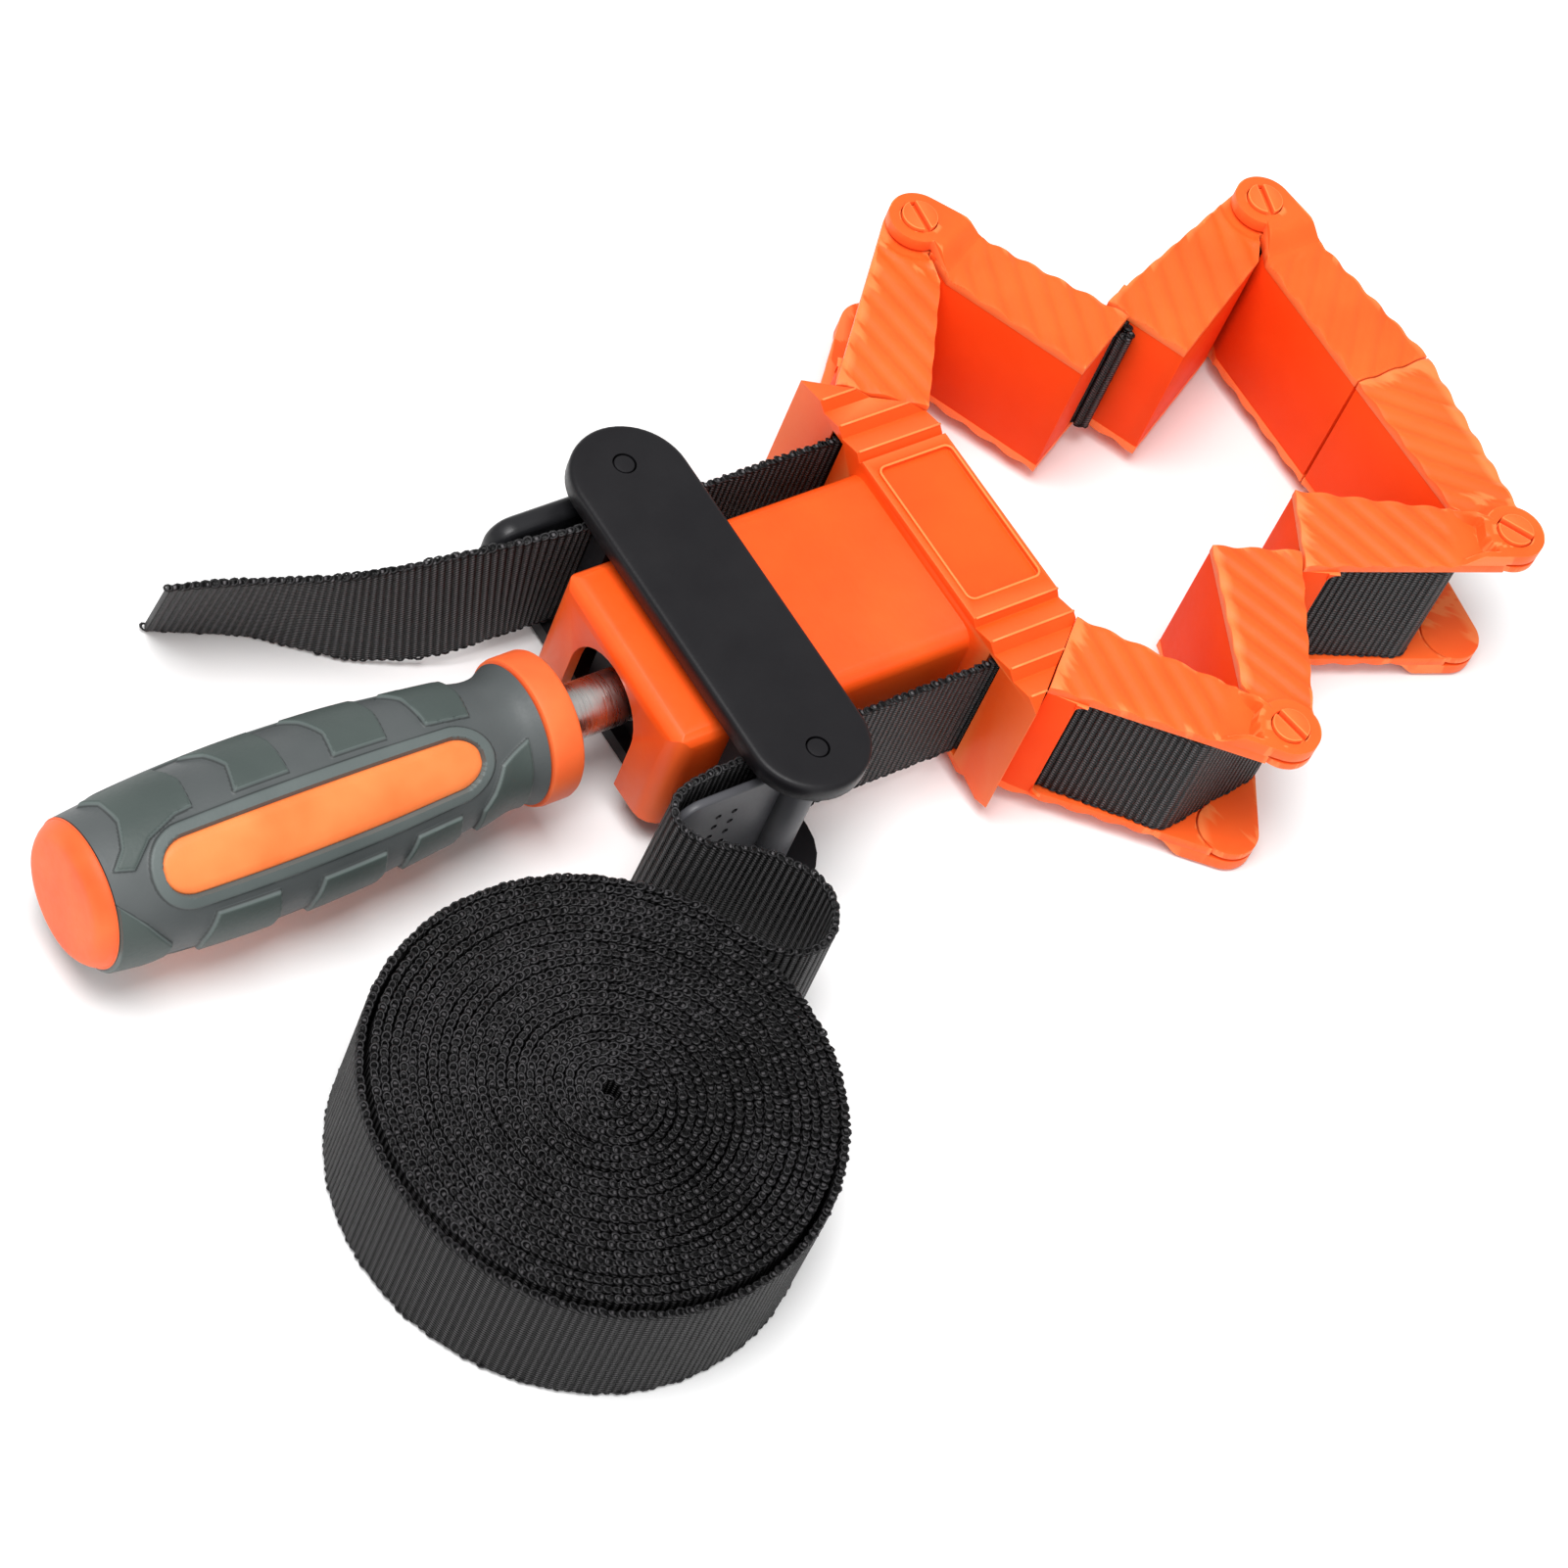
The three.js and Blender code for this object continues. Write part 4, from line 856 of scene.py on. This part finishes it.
for name, side in SIDES:
    inner, outer = LEVER_FACES[name]
    stand = Matrix(((.001, 0, 0, 0), (0, 0, side * .001, 0), (0, .001, 0, MID_Z), (0, 0, 0, 1)))
    lie = Matrix(((.001, 0, 0, 0), (0, side * .001, 0, 0), (0, 0, .001, MID_Z), (0, 0, 0, 1)))
    upper = [(LEVER_ROOT, LEVER_HALF)] + [(LEVER_END + LEVER_CORNER + u, LEVER_HALF - LEVER_CORNER + v)
                                          for u, v in arc(LEVER_CORNER, 90, 180, 8)]
    outline = upper + [(u, -v) for u, v in reversed(upper)]
    thumb = mesh_of(name + "_thumb_plate", prism(outline, inner, outer), turn=stand)
    plate = rounded(object_of(thumb.name, thumb, LEVER_LOOK[name]), LEVER_EDGE[name], 3)
    cups = bmesh.new()
    for x in DIMPLE_X:
        for z in DIMPLE_Z:
            spot = (x * .001, side * (outer + .05) * .001, MID_Z + z * .001)
            bmesh.ops.create_icosphere(cups, subdivisions=2, radius=DIMPLE_R,
                                       matrix=Matrix.Translation(spot))
    pressed = carved(plate, cups)
    bpy.data.objects.remove(plate)
    whole = bmesh.new()
    join(whole, pressed)
    # Faces inside the dimples take the dark nylon: painted shade in the hollows.
    for face in whole.faces:
        depth = abs(face.calc_center_median().y) * 1000
        spot = face.verts[0].co
        face.material_index = (outer - 1.1 < depth < outer - .04 and -17 < spot.x * 1000 < -10
                               and abs(spot.z - MID_Z) < .008)
    rings = [[(u, v + PIN_Y * 1000, z) for u, v in arc(r, 0, 352.5, 47)] for r, z in HUB_LINE]
    hub = prism(NOSE, -NOSE_HALF, NOSE_HALF, tube(rings, ends=False))
    join(whole, mesh_of("hub", hub, turn=lie))
    lever = linked(name + "_lever_moulding", settled(name + "_lever_moulding", whole))
    for look in (LEVER_LOOK[name], dark_look):
        lever.data.materials.append(look)
    soften(lever.data, 35)
    fit(lever, name + "_lever", "dark_plastic", name + "_cam_lever")

# Arms. Eight orange mouldings of two patterns. Each has two plates with slanting wave ribs, a smooth wall
# towards the work, a slotted end wall, and knuckles under (1) or over (-1) those of its neighbour.
# Sizes are in millimetres: u runs from the pivot along the arm, v towards the work, z from the mid-height.
ARM_LENGTH = 38.4
ARM_IN = 5.45
ARM_OUT = -10.65
ARM_MITRE = (4.5, 2.49)
ARM_IN_U = 10.3
PLATE_Z = (12.8, 14.7)
KNUCKLE_Z = (15, 17.3)
KNUCKLE_R = 5.4
RAMP_U = (5.9, 10.5)
WALL_U = 7.4
WALL_TOP = 12.9
FILLET_R = 1.9
HEAD_REACH = .4
RIB_PITCH = 4.5
RIB_FIRST = -14.2
RIB_DEPTH = .6
PIVOTS = {"a": (78.3, 57.1), "b": (142.2, 38.6), "c": (142, -38.6), "d": (78.5, -56.6)}
ARMS = {"left_head": ("a", -128, 1), "left_middle": ("a", -64.3, -1), "left_outer": ("b", -153.9, 1),
        "left_end": ("b", -90.2, -1), "right_end": ("c", 89.9, 1), "right_outer": ("c", 151, -1),
        "right_middle": ("d", 65, 1), "right_head": ("d", 128.8, -1)}
LEAVE = math.degrees(math.atan2(ARM_OUT, ARM_LENGTH)
                     - math.acos(KNUCKLE_R / math.hypot(ARM_LENGTH, ARM_OUT)))
TANGENT = arc(KNUCKLE_R, LEAVE, LEAVE, 1)[0]

# The arms' orange is a lighter, yellower copy of the housing's: painted light on their tops. Their walls
# take a darker copy, painted shade, with no edge highlight.
arm_lit_look = orange_finish("arm_painted_light_orange", (.92, .1, .013), (.97, .13, .019), .4, .2)
wall_shade_look = orange_finish("arm_wall_painted_shade", (.84, .058, .005), (.9, .072, .008), .5, .08, 0)


def arm_place(name):
    """Turns u and v of an arm into x and y in metres."""
    hub, degrees, side = ARMS[name]
    way = Vector((math.cos(math.radians(degrees)), math.sin(math.radians(degrees))))
    inner = Vector((-way.y, way.x)) * side
    return lambda u, v: (Vector(PIVOTS[hub]) + way * u + inner * v) * .001


def rib_tree():
    sizes = (("Rib Pitch", RIB_PITCH), ("Rib Depth", RIB_DEPTH * .001), ("First Valley", RIB_FIRST),
             ("Valley Sharpness", 1.3))
    tree, given = node_plan("wave_ribs", "Plates", sizes, "Ribbed")
    across, ribbed = [add(tree, "GeometryNodeInputNamedAttribute", {"Name": label}, data_type="FLOAT")
                      for label in ("across", "ribbed")]
    phase = calc("DIVIDE", calc("SUBTRACT", across, given["First Valley"]), given["Rib Pitch"])
    wave = calc("MULTIPLY_ADD", calc("COSINE", calc("MULTIPLY", phase, math.tau)), .5, .5)
    drop = calc("MULTIPLY", calc("POWER", wave, given["Valley Sharpness"]), given["Rib Depth"])
    shift = add(tree, "ShaderNodeCombineXYZ", {2: calc("MULTIPLY", calc("MULTIPLY", drop, ribbed), -1)})
    waved = add(tree, "GeometryNodeSetPosition", {"Geometry": given["Plates"], "Offset": shift})
    return ended(tree, waved, arm_lit_look)


wave_ribs = rib_tree()


def ease(x, a, b):
    t = max(0.0, min(1.0, (x - a) / (b - a)))
    return t * t * (3 - 2 * t)


def on_line(u, start, end):
    """The v at which the line through two points passes u."""
    return start[1] + (u - start[0]) * (end[1] - start[1]) / (end[0] - start[0])


def cut_across(shell, direction, places):
    for place in places:
        everything = list(shell.verts) + list(shell.edges) + list(shell.faces)
        bmesh.ops.bisect_plane(shell, geom=everything, plane_co=direction * place, plane_no=direction,
                               dist=1e-4)


def ribbed_plate(over):
    """One plate, knuckle side up, with its faces cut along the ribs, to be waved."""
    outline = [(ARM_LENGTH, ARM_OUT), (ARM_LENGTH, ARM_IN), (ARM_IN_U, ARM_IN)]
    if over:
        outline += [(6.4, 3.46)] + arc(5.8, 31, LEAVE + 21.4, 14)
    else:
        outline += arc(KNUCKLE_R, 29, LEAVE + 360, 44)
    shell = bmesh.new()
    join(shell, mesh_of("plate", prism(outline, *PLATE_Z)))
    for label in ("across", "ribbed"):
        shell.verts.layers.float.new(label)
    across, ribbed = [shell.verts.layers.float[label] for label in ("across", "ribbed")]
    slant = Vector((math.sqrt(.5), -math.sqrt(.5), 0))
    base = ARM_LENGTH / 2 * math.sqrt(.5)
    cut_across(shell, slant, [base - 19 + RIB_PITCH / 9 * k for k in range(87)])
    cut_across(shell, Vector((1, 0, 0)), [5 + .6 * k for k in range(15 if over else 8)])
    cut_across(shell, Vector((0, 1, 0)), [-9 + 1.5 * k for k in range(10)])
    for v in shell.verts:
        v[across] = v.co.dot(slant) - base
        if v.co.z > PLATE_Z[1] - .01:
            gone = math.hypot(v.co.x, v.co.y)
            v[ribbed] = ease(v.co.x, 9.8, 12) if over else ease(gone, 7, 9)
            if not over:
                v.co.z -= .45 * (1 - ease(gone, 6.9, 7.5))
    return settled("plate", shell)


def boss(pocket):
    """The raised knuckle of an upper arm, with a counterbore and a ramp down to the plate."""
    ramp_end = RAMP_U[1] + .3
    corner = (ARM_LENGTH, ARM_OUT)
    edge = [TANGENT, (ramp_end, on_line(ramp_end, TANGENT, corner) + .02), (ramp_end, ARM_IN - .02),
            (ARM_IN_U, ARM_IN - .02), ARM_MITRE]
    steps, rows = 120, 14
    rings = []
    for x, y in arc(1, 0, 360 - 360 / steps, steps - 1):
        out = KNUCKLE_R
        for (x0, y0), (x1, y1) in zip(edge, edge[1:]):
            turn = x * (y1 - y0) - y * (x1 - x0)
            if abs(turn) > 1e-9:
                far = (x0 * (y1 - y0) - y0 * (x1 - x0)) / turn
                share = (x0 * y - y0 * x) / turn
                if far > 0 and 0 <= share <= 1:
                    out = max(out, far)
        top, foot = [], []
        for j in range(rows + 1):
            r = 3.4 + (out - 3.4) * j / rows
            u, v = x * r, y * r
            rise = 1 - ease(u, *RAMP_U)
            if pocket and u > 0:
                low, high = on_line(u, TANGENT, corner), on_line(u, ARM_MITRE, (ARM_IN_U, ARM_IN))
                rise *= 1 - ease(r, 5.5, 6.1) * ease(v - low, 1.2, 1.9) * ease(high - v, .9, 1.5)
            z = PLATE_Z[1] - .25 + (KNUCKLE_Z[1] - PLATE_Z[1] + .25) * rise
            top.append((u, v, z))
            foot.append((u, v, min(KNUCKLE_Z[0] if r < 5.85 else 14, z - .05)))
        rings.append(top + foot[::-1])
    return mesh_of("boss", tube(rings, ends=False))


for name, (_, _, side) in ARMS.items():
    over = side < 0
    whole = bmesh.new()
    for way in (1, -1):
        join(whole, ribbed_plate(over), Matrix.Scale(way, 4, (0, 0, 1)))
        if over:
            join(whole, boss(name.startswith("right")), Matrix.Scale(way, 4, (0, 0, 1)))
    mitre = on_line(WALL_U, ARM_MITRE, (ARM_IN_U, ARM_IN))
    slot = -5.7 if name.endswith("outer") else -6.2
    walls = ([], [])
    for outline in ([(WALL_U, ARM_IN - 2), (38.3, ARM_IN - 2), (38.3, ARM_IN - .06),
                     (ARM_IN_U, ARM_IN - .06), (WALL_U, mitre)],
                    [(36.2, slot), (38.34, slot), (38.34, ARM_IN - .5), (36.2, ARM_IN - .5)],
                    [(33.4, ARM_OUT + .3), (38.34, ARM_OUT + .06), (38.34, -9.75), (33.4, -9.75)]):
        prism(outline, -WALL_TOP, WALL_TOP, walls)
    join(whole, mesh_of("walls", walls))
    for foot in (WALL_TOP - .05, .05 - WALL_TOP):
        curve = [(31.6 + u, math.copysign(10.95 + v, foot)) for u, v in arc(FILLET_R, 90, 0, 6)]
        fillet = mesh_of("fillet", prism(curve + [(33.6, foot)], 9.75, -ARM_OUT - .06))
        join(whole, fillet, Matrix.Rotation(math.pi / 2, 4, "X"))
    data = settled(name + "_arm_blank", whole)
    signs = data.attributes["ribbed"].data
    values = np.zeros(len(data.vertices), np.float32)
    signs.foreach_get("value", values)
    signs.foreach_set("value", (values * np.sign([v.co.z for v in data.vertices])).astype(np.float32))
    place = arm_place(name)
    for v in data.vertices:
        longer = HEAD_REACH if name.endswith("head") and v.co.x > 38.1 else 0
        v.co = (*place(v.co.x + longer, v.co.y), MID_Z + v.co.z * .001)
    made = grown(wave_ribs, data, name + "_arm_moulding", arm_lit_look)
    outward(made.data)
    # Upright faces, the walls, take the darker orange: painted shade.
    made.data.materials.append(wall_shade_look)
    for face in made.data.polygons:
        face.material_index = abs(face.normal.z) < .5 and abs(face.center.z - MID_Z) < .013
    rounded(made, .0002)
    fit(made, name + "_link", "orange_plastic", name + "_arm")

# Strap through the arms. The same webbing runs behind each arm's wall, round the inner side of each pivot
# and across each fold; it is made in one stretch for each bend, lapped once at the seam of the end arms.
ARM_BAND = ((34.6, -8.3), (16, -6.7), (11.2, -6.2), (8.6, -2.7), (5.6, 2.4))
SLACK_BAND = ((34.6, -8.1), (28, -5.2), (15, -2.9), (8.9, -1.2), (5.6, 2.4))
FOLD_BAND = ((34.9, -8.1), (38, -7.9), (38.9, -7.6))
SEAM_V = -7.15


def folded(name, points, steps, nodes, rests_on, bodies, start, end):
    """A stretch of strap through arms, which bends between two bodies."""
    for part in strap(name, upright(flow(points, steps)), "folded", rests_on, *nodes):
        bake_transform(part, *bodies, start=(*start, MID_Z), end=(*end, MID_Z))


for first, second in (("left_head", "left_middle"), ("left_outer", "left_end"), ("right_outer", "right_end"),
                      ("right_head", "right_middle")):
    one, two = arm_place(first), arm_place(second)
    first_band = SLACK_BAND if first == "left_head" else ARM_BAND
    middle = (one(*ARM_BAND[-1]) + two(*ARM_BAND[-1])) / 2
    points = [one(u, v) for u, v in first_band[:-1]] + [middle]
    points += [two(u, v) for u, v in reversed(ARM_BAND[:-1])]
    if "end" in second:
        points.append(two(38.3, -8.62))
    aside = (two(20, 0) - one(20, 0)).normalized() * .004
    folded(first + "_to_" + second + "_strap", points, 8, (first + "_strap", second + "_strap"),
           [first + "_arm", second + "_arm"], (first + "_link", second + "_link"),
           middle - aside, middle + aside)

for name, side in SIDES:
    one, two = arm_place(name + "_middle"), arm_place(name + "_outer")
    points = [way(u, v) for way, (u, v) in zip((one, one, one, two, two, two), FOLD_BAND + FOLD_BAND[::-1])]
    if side > 0:
        points[2:4] = [one(39.9, -7.9), one(40.6, -8.7), one(39.9, -9.9), two(38.6, -6.6), two(37.6, -7.2)]
    folded(name + "_fold_strap", points, 4, (), [name + "_middle_arm", name + "_outer_arm"],
           (name + "_middle_link", name + "_outer_link"), one(37.5, -7.6), two(37.5, -7.6))
    arm = arm_place(name + "_head")
    end = arm(38.4, -8.6)
    bend = Vector(HEAD_BEND[name])
    way = (end - bend).normalized()
    points = [Vector((.0378, bend.y)), bend + Vector((-.0007, 0)), bend + way * .0007, end - way * .003,
              end - way * .001, arm(38.2, -8.6), arm(36.5, -8.45), arm(34.9, -8.32)]
    folded(name + "_head_fold_strap", points, 4, (name + "_channel_strap",), ["housing", name + "_head_arm"],
           ("frame", name + "_head_link"), end - way * .001, arm(37.4, -8.5))

one, two = arm_place("left_end"), arm_place("right_end")
slope = (8.6 - 6.7) / (38.2 - 16)
ends = [one(24, SEAM_V + slope * 14.2 - .02), one(38.3, SEAM_V), two(38.3, SEAM_V),
        two(12, SEAM_V + slope * 26.2)]
points = [ends[0], ends[0].lerp(ends[1], .5), ends[1], ends[2], ends[2].lerp(ends[3], .5), ends[3]]
seam, seam_length = webbing("seam_strap_lap", *upright(flow(points, 6)), thick=.001)
fit(seam, "left_end_link", "webbing", "seam_strap")

# Pivot pins. Orange plastic pins pushed in from both sides: round heads with a screwdriver slot on top,
# plain below. Sizes are in millimetres from the mid-height.
PIN_R = 3.2
STEM_R = 1.9
PIN_HEAD_Z = (16.2, 18)
PIN_FOOT_Z = 13.1
SLOT_HALF = .62
SLOT_FLOOR = 16.6
SLOT_TURN = {"a": 84, "b": 74, "c": 121, "d": 101}
slot_edge = math.degrees(math.asin(SLOT_HALF / PIN_R))
stem = [(STEM_R - .4, PIN_FOOT_Z), (STEM_R, PIN_FOOT_Z + .3), (STEM_R, PIN_HEAD_Z[0]),
        (PIN_R, PIN_HEAD_Z[0])]
plain_head = [(PIN_R, PIN_HEAD_Z[1] - .35), (PIN_R - .12, PIN_HEAD_Z[1] - .12), (PIN_R - .4, PIN_HEAD_Z[1])]
for hub, name, body in (("a", "left_inner", "left_middle_link"), ("b", "left_outer", "left_end_link"),
                        ("c", "right_outer", "right_outer_link"), ("d", "right_inner", "right_head_link")):
    for level, head in (("top", [(PIN_R, SLOT_FLOOR)]), ("bottom", plain_head)):
        pin = tube([[(u, v, z) for u, v in arc(r, 0, 352.5, 47)] for r, z in stem + head])
        if level == "top":
            for way in (0, 180):
                half = arc(PIN_R, way + slot_edge, way + 180 - slot_edge, 23)
                prism(half, SLOT_FLOOR - .02, PIN_HEAD_Z[1], pin)
        over = Matrix.Rotation(0 if level == "top" else math.pi, 4, "X")
        x, y = PIVOTS[hub]
        place = Matrix.Translation((x * .001, y * .001, MID_Z)) @ Matrix.Rotation(
            math.radians(SLOT_TURN[hub]), 4, "Z") @ Matrix.Scale(.001, 4)
        label = name + "_" + level + "_pin"
        mesh = mesh_of(label + "_head", pin, turn=place @ over)
        # The pins take the arms' lighter orange: painted light.
        piece = rounded(object_of(mesh.name, mesh, arm_lit_look), .00016)
        fit(piece, body, "orange_plastic", label)

# Table and light. A plain pale table, a wide soft light above it and a weaker one from the right. The
# world gives the rest, so that the shadows stay soft.
table = bpy.data.meshes.new("table")
table.from_pydata([(-6, -6, 0), (6, -6, 0), (6, 6, 0), (-6, 6, 0)], [], [(0, 1, 2, 3)])
pale, tree, shader = blank("table_paint", .5)
give(tree, shader, {"Base Color": ramp(noise(tree, 3, 2), ((.3, (.9, .9, .9)), (.7, (.93, .93, .93)))),
                    "Roughness": .8})
object_of("table", table, pale)
world = bpy.data.worlds.new("studio")
world.use_nodes = True
give(world.node_tree, world.node_tree.nodes["Background"], {"Color": (1, 1, 1, 1), "Strength": .6})
bpy.context.scene.world = world
for name, spot, size, power in (("key", (-.38, 0, 1.5), .9, 25), ("fill", (-.3, -1.2, .9), 1.2, 5)):
    lamp_data = bpy.data.lights.new(name, "AREA")
    lamp_data.size = size
    lamp_data.energy = power
    lamp = linked(name, lamp_data)
    lamp.location = spot
    lamp.rotation_euler = (Vector((.02, 0, 0)) - Vector(spot)).to_track_quat("-Z", "Y").to_euler()
bpy.context.scene.view_settings.view_transform = "Standard"
